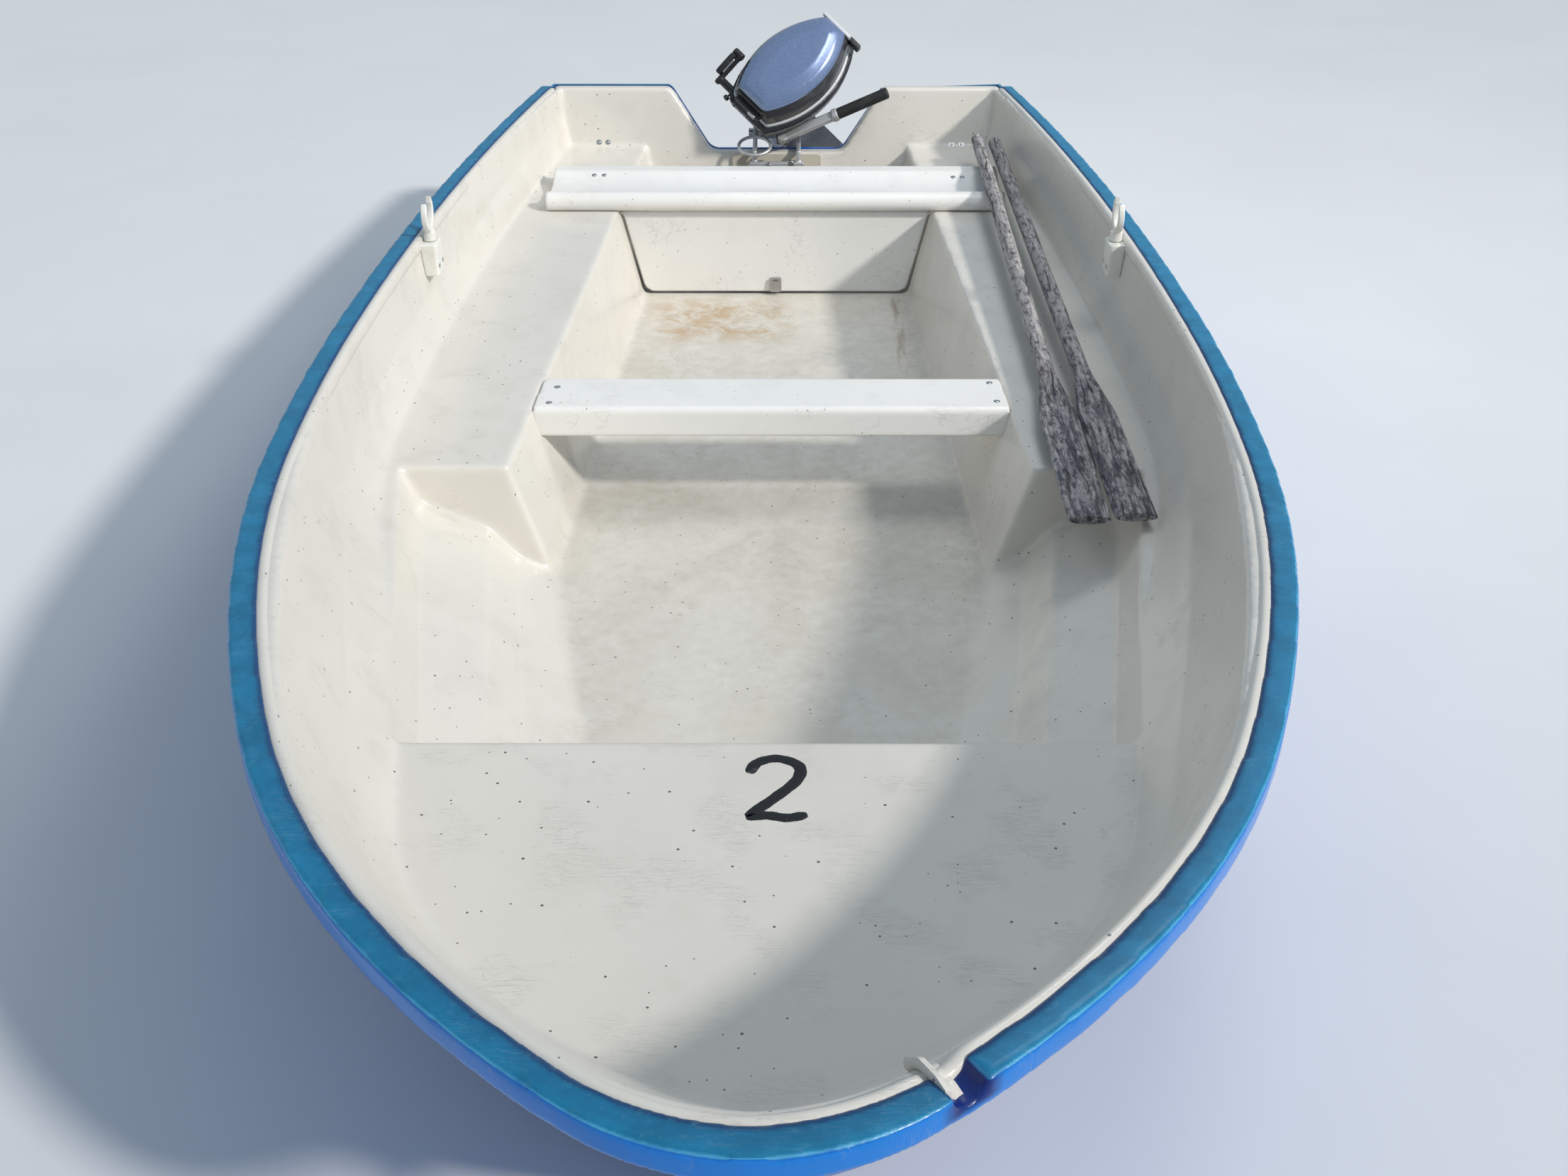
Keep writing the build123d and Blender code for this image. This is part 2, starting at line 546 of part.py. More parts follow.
with BuildPart() as swivel_bracket:
    with BuildSketch(on(TILT_AT, Plane.YZ)):
        Circle(17)
        with BuildLine():
            Polyline((-4, 16), (SWIVEL_Y - 6, 22), (SWIVEL_Y - 6, -120), (14, -60), (-12, -10), close=True)
        make_face()
    extrude(amount=CLAMP_X - CLAMP_T / 2 - 5, both=True)
    with BuildSketch(on(TILT_AT, Plane.XY.offset(-150))):
        with Locations((0, SWIVEL_Y)):
            Circle(SHAFT_R + 11)
    extrude(amount=172)
    with BuildSketch(on(TILT_AT, Plane.XY.offset(-150))):
        with Locations((0, SWIVEL_Y)):
            Circle(SHAFT_R + RUN)
    extrude(amount=180, mode=Mode.SUBTRACT)
    with BuildSketch(on(TILT_AT, Plane.YZ.offset(-100))):
        Circle(ROD_R + RUN)
    extrude(amount=200, mode=Mode.SUBTRACT)
swivel_bracket.part.label = "swivel_bracket"
export_step(swivel_bracket.part, "parts/swivel_bracket.step")

# What steers: shaft and head bracket, lower yoke, housing, gearcase, cowl and controls
HEAD_Z, HEAD_T = 60.0, 22.0
TILLER_X, TILLER_Y = 93.0, -12.0  # the tiller's foot on the head plate's ear
with BuildPart() as steering_bracket:
    with BuildSketch(on(TURN_AT, Plane.XY.offset(-185))):
        with Locations((0, SWIVEL_Y)):
            Circle(SHAFT_R)
    extrude(amount=185 + HEAD_Z + 1)
    with BuildSketch(on(TURN_AT, Plane.XY.offset(HEAD_Z))):
        with BuildLine():
            Polyline(
                (-38, SWIVEL_Y - 40), (38, SWIVEL_Y - 40), (TILLER_X - 10, TILLER_Y - 15), (TILLER_X + 13, TILLER_Y + 4),
                (60, SWIVEL_Y + 10), (52, 190), (-52, 190), (-60, SWIVEL_Y + 10), close=True,
            )
        make_face()
    extrude(amount=HEAD_T)
steering_bracket.part.label = "steering_bracket"
export_step(steering_bracket.part, "parts/steering_bracket.step")

LEG = [(HEAD_Z - GAP, 62.0, 96.0, 140.0), (-180.0, 44.0, 92.0, 138.0), (-398.0, 36.0, 104.0, 132.0)]
with BuildPart() as drive_housing:
    for z, wide, long, y in LEG:
        with BuildSketch(on(TURN_AT, Plane.XY.offset(z))):
            with Locations((0, y)):
                Ellipse(wide / 2, long / 2)
    loft(ruled=True)
drive_housing.part.label = "drive_housing"
export_step(drive_housing.part, "parts/drive_housing.step")

with BuildPart() as lower_yoke:
    with BuildSketch(on(TURN_AT, Plane.XY.offset(-184))):
        with Locations((0, SWIVEL_Y)):
            Circle(25)
        with Locations((0, SWIVEL_Y + 30)):
            Rectangle(44, 60)
    extrude(amount=26)
    with BuildSketch(on(TURN_AT, Plane.XY.offset(-184))):
        with Locations((0, SWIVEL_Y)):
            Circle(SHAFT_R + 0.1)
    extrude(amount=26, mode=Mode.SUBTRACT)
    with BuildPart(mode=Mode.PRIVATE) as housing_seat:
        for z, wide, long, y in LEG:
            with BuildSketch(on(TURN_AT, Plane.XY.offset(z))):
                with Locations((0, y)):
                    Ellipse(wide / 2 + GAP, long / 2 + GAP)
        loft(ruled=True)
    add(housing_seat.part, mode=Mode.SUBTRACT)
lower_yoke.part.label = "lower_yoke"
export_step(lower_yoke.part, "parts/lower_yoke.step")

CASE_TOP = -398.0 - GAP
with BuildPart() as gearcase:
    with BuildSketch(on(TURN_AT, Plane.XY.offset(CASE_TOP - 7))):
        with BuildLine():
            ThreePointArc((62, 170), (0, 66), (-62, 170))
            Polyline((-62, 170), (-70, 272), (70, 272), (62, 170))
        make_face()
    extrude(amount=7)
    for z, wide, long, y in ((CASE_TOP - 6, 36.0, 104.0, 132.0), (PROP_Z, 30.0, 96.0, 118.0)):
        with BuildSketch(on(TURN_AT, Plane.XY.offset(z))):
            with Locations((0, y)):
                Ellipse(wide / 2, long / 2)
    loft(ruled=True)
    with BuildSketch(on(TURN_AT, Plane.YZ)):
        with BuildLine():
            ThreePointArc((38, PROP_Z), (62, PROP_Z + 21), (110, PROP_Z + 30))
            Line((110, PROP_Z + 30), (PROP_Y - 8, PROP_Z + 24))
            Line((PROP_Y - 8, PROP_Z + 24), (PROP_Y - 8, PROP_Z))
            Line((PROP_Y - 8, PROP_Z), (38, PROP_Z))
        make_face()
    revolve(axis=Axis(on(TURN_AT, Plane.XY.offset(PROP_Z)).origin, on(TURN_AT, Plane.XZ).z_dir))
    with BuildSketch(on(TURN_AT, Plane.YZ)):
        with BuildLine():
            Polyline((88, PROP_Z - 20), (180, PROP_Z - 20), (196, PROP_Z - 108), (150, PROP_Z - 112), close=True)
        make_face()
    extrude(amount=4, both=True)
    with BuildSketch(on(TURN_AT, Plane.XZ.offset(-(PROP_Y - 10)))):
        with Locations((0, PROP_Z)):
            Circle(PROP_SHAFT_R)
    extrude(amount=-(HUB_L + 12))
gearcase.part.label = "gearcase"
export_step(gearcase.part, "parts/gearcase.step")

# Propeller: three twisted blades on a tapered hub; blade sections: radius, chord, thickness
BLADE = [(HUB_R - 6, 54.0, 8.0), (58.0, 92.0, 5.0), (PROP_R - 4, 58.0, 2.4)]
with BuildPart() as propeller:
    with BuildSketch(on(TURN_AT, Plane.YZ)):
        with BuildLine():
            Polyline((PROP_Y - 7, PROP_Z), (PROP_Y - 7, PROP_Z + HUB_R), (PROP_Y + HUB_L - 14, PROP_Z + HUB_R - 4),
                     (PROP_Y + HUB_L - 7, PROP_Z + 14), (PROP_Y + HUB_L - 7, PROP_Z), close=True)
        make_face()
    revolve(axis=Axis(on(TURN_AT, Plane.XY.offset(PROP_Z)).origin, on(TURN_AT, Plane.XZ).z_dir))
    for blade in range(3):
        spin = TURN_AT * Location((0, PROP_Y + HUB_L / 2 - 9, PROP_Z)) * Location((0, 0, 0), (0, 120 * blade + 30, 0))
        for radius, chord, thick in BLADE:
            twist = degrees(atan2(PITCH, 2 * pi * radius))
            with BuildSketch(Plane(spin * Location((0, 0, radius)) * Location((0, 0, 0), (0, 0, twist)))):
                with BuildLine():
                    ThreePointArc((-chord / 2, 0), (0, thick / 2), (chord / 2, 0))
                    ThreePointArc((chord / 2, 0), (0, -thick / 2), (-chord / 2, 0))
                make_face()
        loft()
    with BuildSketch(on(TURN_AT, Plane.XZ.offset(-(PROP_Y - 20)))):
        with Locations((0, PROP_Z)):
            Circle(PROP_SHAFT_R + RUN)
    extrude(amount=-(HUB_L + 40), mode=Mode.SUBTRACT)
propeller.part.label = "propeller"
export_step(propeller.part, "parts/propeller.step")

# Cowl: pan below, engine block, shell above with a light band round its foot
PAN_Z = HEAD_Z + HEAD_T + GAP
BAND_Z = PAN_Z + PAN_H + GAP
TOP_Z = BAND_Z + BAND_H + GAP
BLOCK_Z = PAN_Z + BLOCK_UP
# Heights, and insets of the sides and of the ends
PAN = [(PAN_Z, 46.0, 34.0), (PAN_Z + 34, 6.0, 5.0), (PAN_Z + PAN_H, 0.0, 0.0)]
COWL = [(TOP_Z, 0.0, 0.0), (TOP_Z + 30, 5.0, 1.0), (TOP_Z + 54, 20.0, 5.0), (TOP_Z + 66, 38.0, 18.0), (TOP_Z + 73, 64.0, 44.0)]


def barrel(side, end):
    """Cowl's plan drawn in by side and by end: two bowed sides between flat ends, with soft corners."""
    half, long = COWL_W / 2 - side, COWL_L / 2 - end
    fore, aft = (max(width / 2 - side * 0.8, 16) for width in (COWL_FORE, COWL_AFT))
    with BuildSketch() as plan:
        with BuildLine():
            ThreePointArc((fore, -long), (half, 0), (aft, long))
            Line((aft, long), (-aft, long))
            ThreePointArc((-aft, long), (-half, 0), (-fore, -long))
            Line((-fore, -long), (fore, -long))
        make_face()
        fillet(plan.vertices(), 13)
    return plan.sketch


def cowl_form(sections, grow=0.0):
    """Solid through the cowl's plans, made larger all round by grow."""
    with BuildPart() as form:
        for z, side, end in sections:
            with BuildSketch(on(TURN_AT, Plane.XY.offset(z))):
                with Locations((0, COWL_Y)):
                    add(barrel(side - grow, end - grow))
        loft(ruled=True)
    return form.part


with BuildPart() as lower_cowl:
    add(cowl_form(PAN))
    with BuildSketch(on(TURN_AT, Plane.XY.offset(BLOCK_Z - GAP))):
        with Locations((0, COWL_Y)):
            Rectangle(BLOCK_W + 2 * BLOCK_GAP, BLOCK_L + 2 * BLOCK_GAP)
    extrude(amount=PAN_H, mode=Mode.SUBTRACT)
lower_cowl.part.label = "lower_cowl"
export_step(lower_cowl.part, "parts/lower_cowl.step")

with BuildPart() as cowl_band:
    with BuildSketch(on(TURN_AT, Plane.XY.offset(BAND_Z))):
        with Locations((0, COWL_Y)):
            add(barrel(-2.5, -2.5))
            add(barrel(9, 9), mode=Mode.SUBTRACT)
    extrude(amount=BAND_H)
cowl_band.part.label = "cowl_band"
export_step(cowl_band.part, "parts/cowl_band.step")

with BuildPart() as top_cowl:
    add(cowl_form(COWL))
    with BuildSketch(on(TURN_AT, Plane.XY.offset(BAND_Z))):
        with Locations((0, COWL_Y)):
            Rectangle(BLOCK_W + 2 * BLOCK_GAP, BLOCK_L + 2 * BLOCK_GAP)
    extrude(amount=BLOCK_Z + BLOCK_H + BLOCK_GAP - BAND_Z, mode=Mode.SUBTRACT)
top_cowl.part.label = "top_cowl"
export_step(top_cowl.part, "parts/top_cowl.step")

with BuildPart() as engine_block:
    with BuildSketch(on(TURN_AT, Plane.XY.offset(BLOCK_Z))):
        with Locations((0, COWL_Y)):
            Rectangle(BLOCK_W, BLOCK_L)
    extrude(amount=BLOCK_H)
engine_block.part.label = "engine_block"
export_step(engine_block.part, "parts/engine_block.step")

# Tiller: foot on the head plate's ear, arm folded back beside the cowl, and its grip
TILLER_FOOT, TILLER_RUN, ARM_L, GRIP_L = 26.0, (136, 272, 94), 168.0, 150.0
tiller_line = Plane(origin=(TILLER_X, TILLER_Y, HEAD_Z + HEAD_T + GAP + TILLER_FOOT / 2),
                    x_dir=(TILLER_RUN[1], -TILLER_RUN[0], 0), z_dir=TILLER_RUN)
with BuildPart() as tiller_arm:
    with BuildSketch(on(TURN_AT, Plane.XY.offset(HEAD_Z + HEAD_T + GAP))):
        with Locations((TILLER_X, TILLER_Y)):
            Circle(15)
    extrude(amount=TILLER_FOOT)
    with BuildSketch(on(TURN_AT, tiller_line)):
        RectangleRounded(27, 20, 6)
    extrude(amount=ARM_L - 16)
    with BuildSketch(on(TURN_AT, tiller_line.offset(ARM_L - 16))):
        Circle(18)
    extrude(amount=16)
tiller_arm.part.label = "tiller_arm"
export_step(tiller_arm.part, "parts/tiller_arm.step")
with BuildPart() as tiller_grip:
    with BuildSketch(on(TURN_AT, tiller_line.offset(ARM_L + GAP))):
        Circle(15.5)
    extrude(amount=GRIP_L)
    fillet(tiller_grip.faces().sort_by(Axis(tiller_grip.part.center(), on(TURN_AT, tiller_line).z_dir))[-1].edges(), 5)
tiller_grip.part.label = "tiller_grip"
export_step(tiller_grip.part, "parts/tiller_grip.step")

# Small controls: pull grip on the cowl's front, and the shift lever standing off the starboard side
with BuildPart() as recoil_grip:
    with BuildSketch(on(TURN_AT, Plane.XZ.offset(-(COWL_Y - COWL_L / 2 - GAP)))):
        with Locations((0, TOP_Z + 20)):
            RectangleRounded(94, 20, 8)
    extrude(amount=16)
recoil_grip.part.label = "recoil_grip"
export_step(recoil_grip.part, "parts/recoil_grip.step")

LEVER_X, LEVER_Y, LEVER_Z = -142.0, -42.0, PAN_Z + 66
with BuildPart() as shift_lever:
    with BuildSketch(on(TURN_AT, Plane.YZ.offset(LEVER_X + 90))):
        with Locations((LEVER_Y + 6, LEVER_Z)):
            Circle(11)
    extrude(amount=-90)
    add(cowl_form(PAN, GAP), mode=Mode.SUBTRACT)
    with BuildSketch(on(TURN_AT, Plane.YZ.offset(LEVER_X + 12))):
        with Locations(Location((LEVER_Y + 42, LEVER_Z + 14), (0, 0, 18))):
            SlotOverall(110, 17)
    extrude(amount=-12)
    with BuildSketch(on(TURN_AT, Plane.YZ.offset(LEVER_X + 15))):
        with Locations((LEVER_Y + 84, LEVER_Z + 28)):
            Circle(11)
    extrude(amount=-32)
shift_lever.part.label = "shift_lever"
export_step(shift_lever.part, "parts/shift_lever.step")
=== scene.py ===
"""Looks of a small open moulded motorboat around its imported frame. Metres, bow to -Y, port to +X."""

import json
import math

import bmesh
import bpy
from bpy.props import FloatProperty, FloatVectorProperty, PointerProperty
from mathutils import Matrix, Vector
from mathutils.bvhtree import BVHTree


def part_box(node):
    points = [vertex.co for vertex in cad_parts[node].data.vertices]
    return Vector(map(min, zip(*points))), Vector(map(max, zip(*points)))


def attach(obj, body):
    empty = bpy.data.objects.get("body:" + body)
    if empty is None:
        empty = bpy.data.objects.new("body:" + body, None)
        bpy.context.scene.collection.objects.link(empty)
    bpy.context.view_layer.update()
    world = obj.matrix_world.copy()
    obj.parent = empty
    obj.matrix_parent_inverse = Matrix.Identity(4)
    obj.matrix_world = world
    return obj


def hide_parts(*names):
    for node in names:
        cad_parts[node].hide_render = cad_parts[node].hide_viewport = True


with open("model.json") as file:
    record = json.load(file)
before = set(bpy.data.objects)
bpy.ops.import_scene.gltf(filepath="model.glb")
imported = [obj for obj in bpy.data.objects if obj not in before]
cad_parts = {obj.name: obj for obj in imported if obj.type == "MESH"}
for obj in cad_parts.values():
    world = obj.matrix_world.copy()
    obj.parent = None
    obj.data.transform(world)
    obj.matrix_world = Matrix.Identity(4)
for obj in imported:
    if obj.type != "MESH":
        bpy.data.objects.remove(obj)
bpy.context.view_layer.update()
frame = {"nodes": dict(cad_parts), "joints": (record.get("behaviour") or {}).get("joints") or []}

bl_info = {
    "name": "Open Motorboat Finish",
    "version": (1, 0, 0),
    "blender": (4, 5, 0),
    "location": "View3D > Sidebar > Motorboat",
    "description": "Finishes, fittings and stage for a small open motorboat",
    "category": "Object",
}

MM = 0.001  # a millimetre in metres

DIRT_AMOUNT, GELCOAT_ROUGH = 0.22, 0.3  # how much the soft dirt shows on the gelcoat, and its roughness
TARNISH = (0.20, 0.16, 0.12)
SCREW_SEED = 3  # seed of the screw heads' sizes

# Places and sizes, in metres

STAIN = ((-0.30, 0.93), (0.02, 1.18))  # rust stain on the aft floor: low and high corner
DRAIN_RUN, RUN_HALF = (0.312, 0.74, 1.2), 0.006  # brown run along the floor: x, start and end; half its width
FLOOR_ENDS, GRIT_ENDS = (0.035, 0.022), (0.06, 0.03)  # heights over which the floor's wear and grit fade
FOOT_ENDS = (0.10, 0.03)  # heights over which the dirt at the foot of the sides fades
DOOR_ROUND, DOOR_FACE = 0.02, 0.006  # shadow round the locker door: its width, and how far behind the face
RAIL_ENDS, SCUM_ENDS = (0.30, 0.38), (0.05, 0.005)  # heights over which strake wear starts and scum fades
BLADE_ENDS = (0.60, 0.48)  # where an oar's shaft turns into its blade, from the blade's tip
CAMERA_AT = (0.031, -2.912, 1.660)
CAMERA_TURN = 0.125  # degrees to the left
SUN_FROM = (0.72, -0.45, 0.58)  # direction of the key light
RIM = ((-2.0, 0.546), (0.0, 0.464), (1.85, 0.405))  # station and height of the rim
NOTCH, NOTCH_WAY = (0.163, -1.880), (0.55, -0.835)  # middle of the notch, and its outward direction
NOTCH_R, NOTCH_RISE = 0.020, 0.0067  # radius of the notch, and how far its axis is above the rim
NOTCH_SEAT = (0.174, -1.897, 0.0)  # middle of the painted shade in the notch
BENCH_Z = 0.25  # height of the benches and of the bow platform
RIM_STEP = 0.025  # spacing of the points along the rim
STERN_RIM, TURN_STATION = 1.80, -0.80  # where the rim's path starts, and from where it goes round the bow
BOW_STEPS, CLOSEST = 240, 0.6  # rays round the bow, and the least spacing as a share of the step
BELOW_RIM = 0.018  # how far below the rim the strake's inner face is sought
SKIRT_AFT, SKIRT_GROWTH = 0.066, 0.11  # middle of the lower cowl aft of the swivel, and how much it widens
SKIRT_TOP, SKIRT_ROLL = 0.168, 0.012  # seam of the lower cowl above the swivel, and the depth of its turn
SKIRT_FOOT, SKIRT_TAPER = 0.090, 0.04  # foot of the skirt, and the height over which it draws in
LACQUER_EDGE = (0.2295, 0.2312)  # where the cowl's dark band turns into lacquer, above the swivel
PINSTRIPES = ((0.150, 0.1535), (0.139, 0.1405))  # lower and upper ends of the stripes, above the swivel
STRIPE_EDGE = 0.0006  # softness of the stripes' edges
SHANK_REACH, SHANK_KEEP, SHANK_LIFT = 0.0085, 0.92, 0.0006  # rowlock: shank's radius, share kept, rest's lift
SKIN_WELD = 2e-5  # distance within which the loose corners of a node are one
EDGE_ROUND, EDGE_ANGLE = 0.004, 0.7  # rounding of the strake's edges, and how sharp they have to be
ROD_SIDES, STROKE_STEPS = 16, 12  # sides of a small round bar, and steps from point to point of a stroke

# Settings


class HullSettings(bpy.types.PropertyGroup):
    """Colours and wear of the boat itself"""

    shell_blue: FloatVectorProperty(
        name="Shell blue", description="Blue of the outer skin and strake",
        subtype="COLOR", size=3, min=0, max=1, default=(0.001, 0.115, 0.53))
    strake_top: FloatVectorProperty(
        name="Bleached blue", description="Sun bleached blue on top of the strake",
        subtype="COLOR", size=3, min=0, max=1, default=(0.006, 0.150, 0.290))
    cream: FloatVectorProperty(
        name="Cream", description="Gelcoat of the liner",
        subtype="COLOR", size=3, min=0, max=1, default=(0.730, 0.700, 0.640))
    white: FloatVectorProperty(
        name="White", description="Gelcoat of thwart, seat and door",
        subtype="COLOR", size=3, min=0, max=1, default=(0.86, 0.85, 0.82))
    speckle_size: FloatProperty(
        name="Speckle spacing", description="Mean spacing of the dark specks",
        unit="LENGTH", default=0.018, min=0.002, max=0.2)


class StageSettings(bpy.types.PropertyGroup):
    """Floor, light and camera"""

    pitch: FloatProperty(
        name="Camera pitch", description="Angle below the horizon",
        subtype="ANGLE", default=math.radians(31.6))
    lens: FloatProperty(
        name="Focal length", description="Focal length over picture width", default=2350 / 2212)
    sun: FloatProperty(name="Key strength", description="Strength of the key light", default=2.6, min=0)
    sky: FloatProperty(name="Fill strength", description="Strength of the pale surround", default=0.46, min=0)
    softbox: FloatProperty(
        name="Softbox strength", description="Power of the lamp mirrored in the cowl",
        unit="POWER", default=30.0, min=0)


def settings():
    """The hull's and the stage's settings."""
    return bpy.context.scene.motorboat_hull, bpy.context.scene.motorboat_stage


# Shader tools


def new_group(name, inputs, outputs):
    """Shader node group that takes a vector and the named numbers, and gives numbers."""
    group = bpy.data.node_groups.new(name, "ShaderNodeTree")
    group.interface.new_socket("Vector", in_out="INPUT", socket_type="NodeSocketVector")
    for socket in inputs:
        group.interface.new_socket(socket, in_out="INPUT", socket_type="NodeSocketFloat")
    for socket in outputs:
        group.interface.new_socket(socket, in_out="OUTPUT", socket_type="NodeSocketFloat")
    return group, group.nodes.new("NodeGroupInput"), group.nodes.new("NodeGroupOutput")


class Net:
    """Short hand for adding and joining nodes in one tree."""

    def __init__(self, tree):
        self.tree = tree

    def node(self, kind, links=None, **values):
        """A node with its values set and its inputs joined or set; a short kind is a shader node."""
        made = self.tree.nodes.new(kind if "Node" in kind else "ShaderNode" + kind)
        for key, value in values.items():
            setattr(made, key, value)
        for socket, source in (links or {}).items():
            target = made.inputs[socket]
            if isinstance(source, bpy.types.NodeSocket):
                self.tree.links.new(source, target)
            else:
                target.default_value = source
        return made

    def math(self, operation, a, b=0.5):
        return self.node("Math", {0: a, 1: b}, operation=operation).outputs[0]

    def times(self, a, b):
        return self.math("MULTIPLY", a, b)

    def plus(self, a, b):
        return self.math("ADD", a, b)

    def most(self, a, b):
        return self.math("MAXIMUM", a, b)

    def split(self, vector):
        return self.node("SeparateXYZ", {0: vector}).outputs

    def ramp(self, value, low, high, a=0.0, b=1.0):
        """A value running from a to b while the input runs from low to high, and level outside."""
        links = {"Value": value, "From Min": low, "From Max": high, "To Min": a, "To Max": b}
        return self.node("MapRange", links, clamp=True).outputs["Result"]

    def mix(self, factor, a, b, blend="MIX"):
        """Colour a turning into colour b; a plain colour has three numbers."""
        a, b = ((*colour, 1.0) if isinstance(colour, tuple) else colour for colour in (a, b))
        return self.node("Mix", {0: factor, 6: a, 7: b}, data_type="RGBA", blend_type=blend).outputs[2]

    def noise(self, vector, scale, detail, rough=0.55, distort=0.0):
        """Cloudy value round 0.5, with so many blotches to the metre."""
        links = {
            "Vector": vector, "Scale": scale, "Detail": detail, "Roughness": rough, "Distortion": distort}
        return self.node("TexNoise", links).outputs["Fac"]

    def mapped(self, vector, scale, location=(0, 0, 0), rotation=(0, 0, 0)):
        links = {"Vector": vector, "Scale": scale, "Location": location, "Rotation": rotation}
        return self.node("Mapping", links).outputs["Vector"]


def specks_group():
    """Fine dark specks in gelcoat: Mask is 1 in a speck."""
    group, give, take = new_group("Gelcoat specks", ("Spacing", "Amount"), ("Mask",))
    net = Net(group)
    scale = net.math("DIVIDE", 1.0, give.outputs["Spacing"])
    cells = net.node("TexVoronoi", {"Vector": give.outputs["Vector"], "Scale": scale})
    chance = net.node("SeparateColor", {"Color": cells.outputs["Color"]}).outputs[0]
    size = net.ramp(chance, 0.25, 1.0, 0.0, 0.125)
    inside = net.math("LESS_THAN", cells.outputs["Distance"], size)
    patch = net.ramp(net.noise(give.outputs["Vector"], 5.0, 2.0), 0.26, 0.40)
    group.links.new(net.times(net.times(inside, patch), give.outputs["Amount"]), take.inputs["Mask"])
    return group


def stain_group():
    """Soft blotches of dirt: Mask runs from 0 to 1 while the blotches' noise runs from Low to High."""
    group, give, take = new_group("Dirt stains", ("Scale", "Low", "High"), ("Mask",))
    net = Net(group)
    broad = net.noise(give.outputs["Vector"], give.outputs["Scale"], 6.0, 0.62, 0.6)
    fine = net.noise(give.outputs["Vector"], net.times(give.outputs["Scale"], 9.0), 4.0, 0.6)
    both = net.plus(net.times(broad, 0.75), net.times(fine, 0.25))
    group.links.new(net.ramp(both, give.outputs["Low"], give.outputs["High"]), take.inputs["Mask"])
    return group


def scratch_group():
    """Fine scuffs: Mask is 1 along thin broken lines, Height is their relief."""
    group, give, take = new_group("Scuffs", ("Scale",), ("Mask", "Height"))
    net = Net(group)
    lines = None
    for turn, stretch in ((0.4, 14.0), (1.9, 20.0), (2.7, 9.0)):
        vector = net.mapped(give.outputs["Vector"], (1, stretch, 1), (turn, turn, 0), (0, 0, turn))
        level = net.math("SUBTRACT", net.noise(vector, give.outputs["Scale"], 1.0), 0.5)
        value = net.ramp(net.math("ABSOLUTE", level), 0.0, 0.012, 1.0, 0.0)
        lines = value if lines is None else net.most(lines, value)
    broken = net.times(lines, net.ramp(net.noise(give.outputs["Vector"], 11.0, 3.0), 0.52, 0.62))
    group.links.new(broken, take.inputs["Mask"])
    group.links.new(net.times(broken, -1.0), take.inputs["Height"])
    return group


EFFECTS = {"Gelcoat specks": specks_group, "Dirt stains": stain_group, "Scuffs": scratch_group}
GROUPS = {}


def effect(net, name, links):
    """The named effect's group, placed in a net with its inputs joined or set; returns its outputs."""
    if name not in GROUPS:
        GROUPS[name] = EFFECTS[name]()
    return net.node("Group", links, node_tree=GROUPS[name]).outputs


def dirt_mask(net, place, scale, low, high):
    """Mask of soft blotches of dirt."""
    return effect(net, "Dirt stains", {"Vector": place, "Scale": scale, "Low": low, "High": high})["Mask"]


def scuffing(net, place, scale):
    """Mask and relief of fine scuffs."""
    made = effect(net, "Scuffs", {"Vector": place, "Scale": scale})
    return made["Mask"], made["Height"]


def new_material(name, roughness, metallic=0.0, **sockets):
    """Material with one Principled shader; returns it with its net, shader and object coordinates."""
    material = bpy.data.materials.new(name)
    material.use_nodes = True
    shader = material.node_tree.nodes["Principled BSDF"]
    shader.inputs["Roughness"].default_value = roughness
    shader.inputs["Metallic"].default_value = metallic
    for socket, value in sockets.items():
        shader.inputs[socket.replace("_", " ")].default_value = value
    net = Net(material.node_tree)
    return material, net, shader, net.node("TexCoord").outputs["Object"]


def dress(net, shader, colour, rough, height, strength, distance):
    """Joins colour, roughness and relief to a shader; strength and distance are those of the relief."""
    relief = net.node("Bump", {"Height": height, "Strength": strength, "Distance": distance})
    for name, source in (("Base Color", colour), ("Roughness", rough), ("Normal", relief.outputs["Normal"])):
        net.tree.links.new(source, shader.inputs[name])


# Mesh tools


def finish_piece(obj, body, look, smooth=None, replaced=()):
    """Gives a mesh its finish and shading, hangs it on its body, and hides the nodes it stands for."""
    obj.data.materials.clear()
    obj.data.materials.append(finish(look))
    if smooth is not None:
        obj.data.shade_smooth()
        obj.data.set_sharp_from_angle(angle=math.radians(smooth))
    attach(obj, body)
    if replaced:
        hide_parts(*replaced)


def add_object(name, mesh):
    """Object of a mesh, lamp or camera, in the scene."""
    obj = bpy.data.objects.new(name, mesh)
    bpy.context.scene.collection.objects.link(obj)
    return obj


def from_bmesh(name, bm):
    """Object of a bmesh, with its faces turned outward."""
    mesh = bpy.data.meshes.new(name)
    bmesh.ops.recalc_face_normals(bm, faces=bm.faces[:])
    bm.to_mesh(mesh)
    bm.free()
    return add_object(name, mesh)


def merged_copy(node, name):
    """A welded copy of a CAD node's loose triangles."""
    bm = bmesh.new()
    bm.from_mesh(frame["nodes"][node].data)
    bmesh.ops.remove_doubles(bm, verts=bm.verts[:], dist=SKIN_WELD)
    mesh = bpy.data.meshes.new(name)
    bm.to_mesh(mesh)
    bm.free()
    return add_object(name, mesh)


def bake(obj):
    """Applies the object's modifiers to its mesh."""
    graph = bpy.context.evaluated_depsgraph_get()
    graph.update()
    mesh = bpy.data.meshes.new_from_object(obj.evaluated_get(graph), depsgraph=graph)
    mesh.validate()
    obj.modifiers.clear()
    old = obj.data
    obj.data = mesh
    bpy.data.meshes.remove(old)
    return obj


def modifier(obj, kind, **values):
    """Adds a modifier with its values set."""
    made = obj.modifiers.new(kind.lower(), kind)
    for key, value in values.items():
        setattr(made, key, value)
    return made


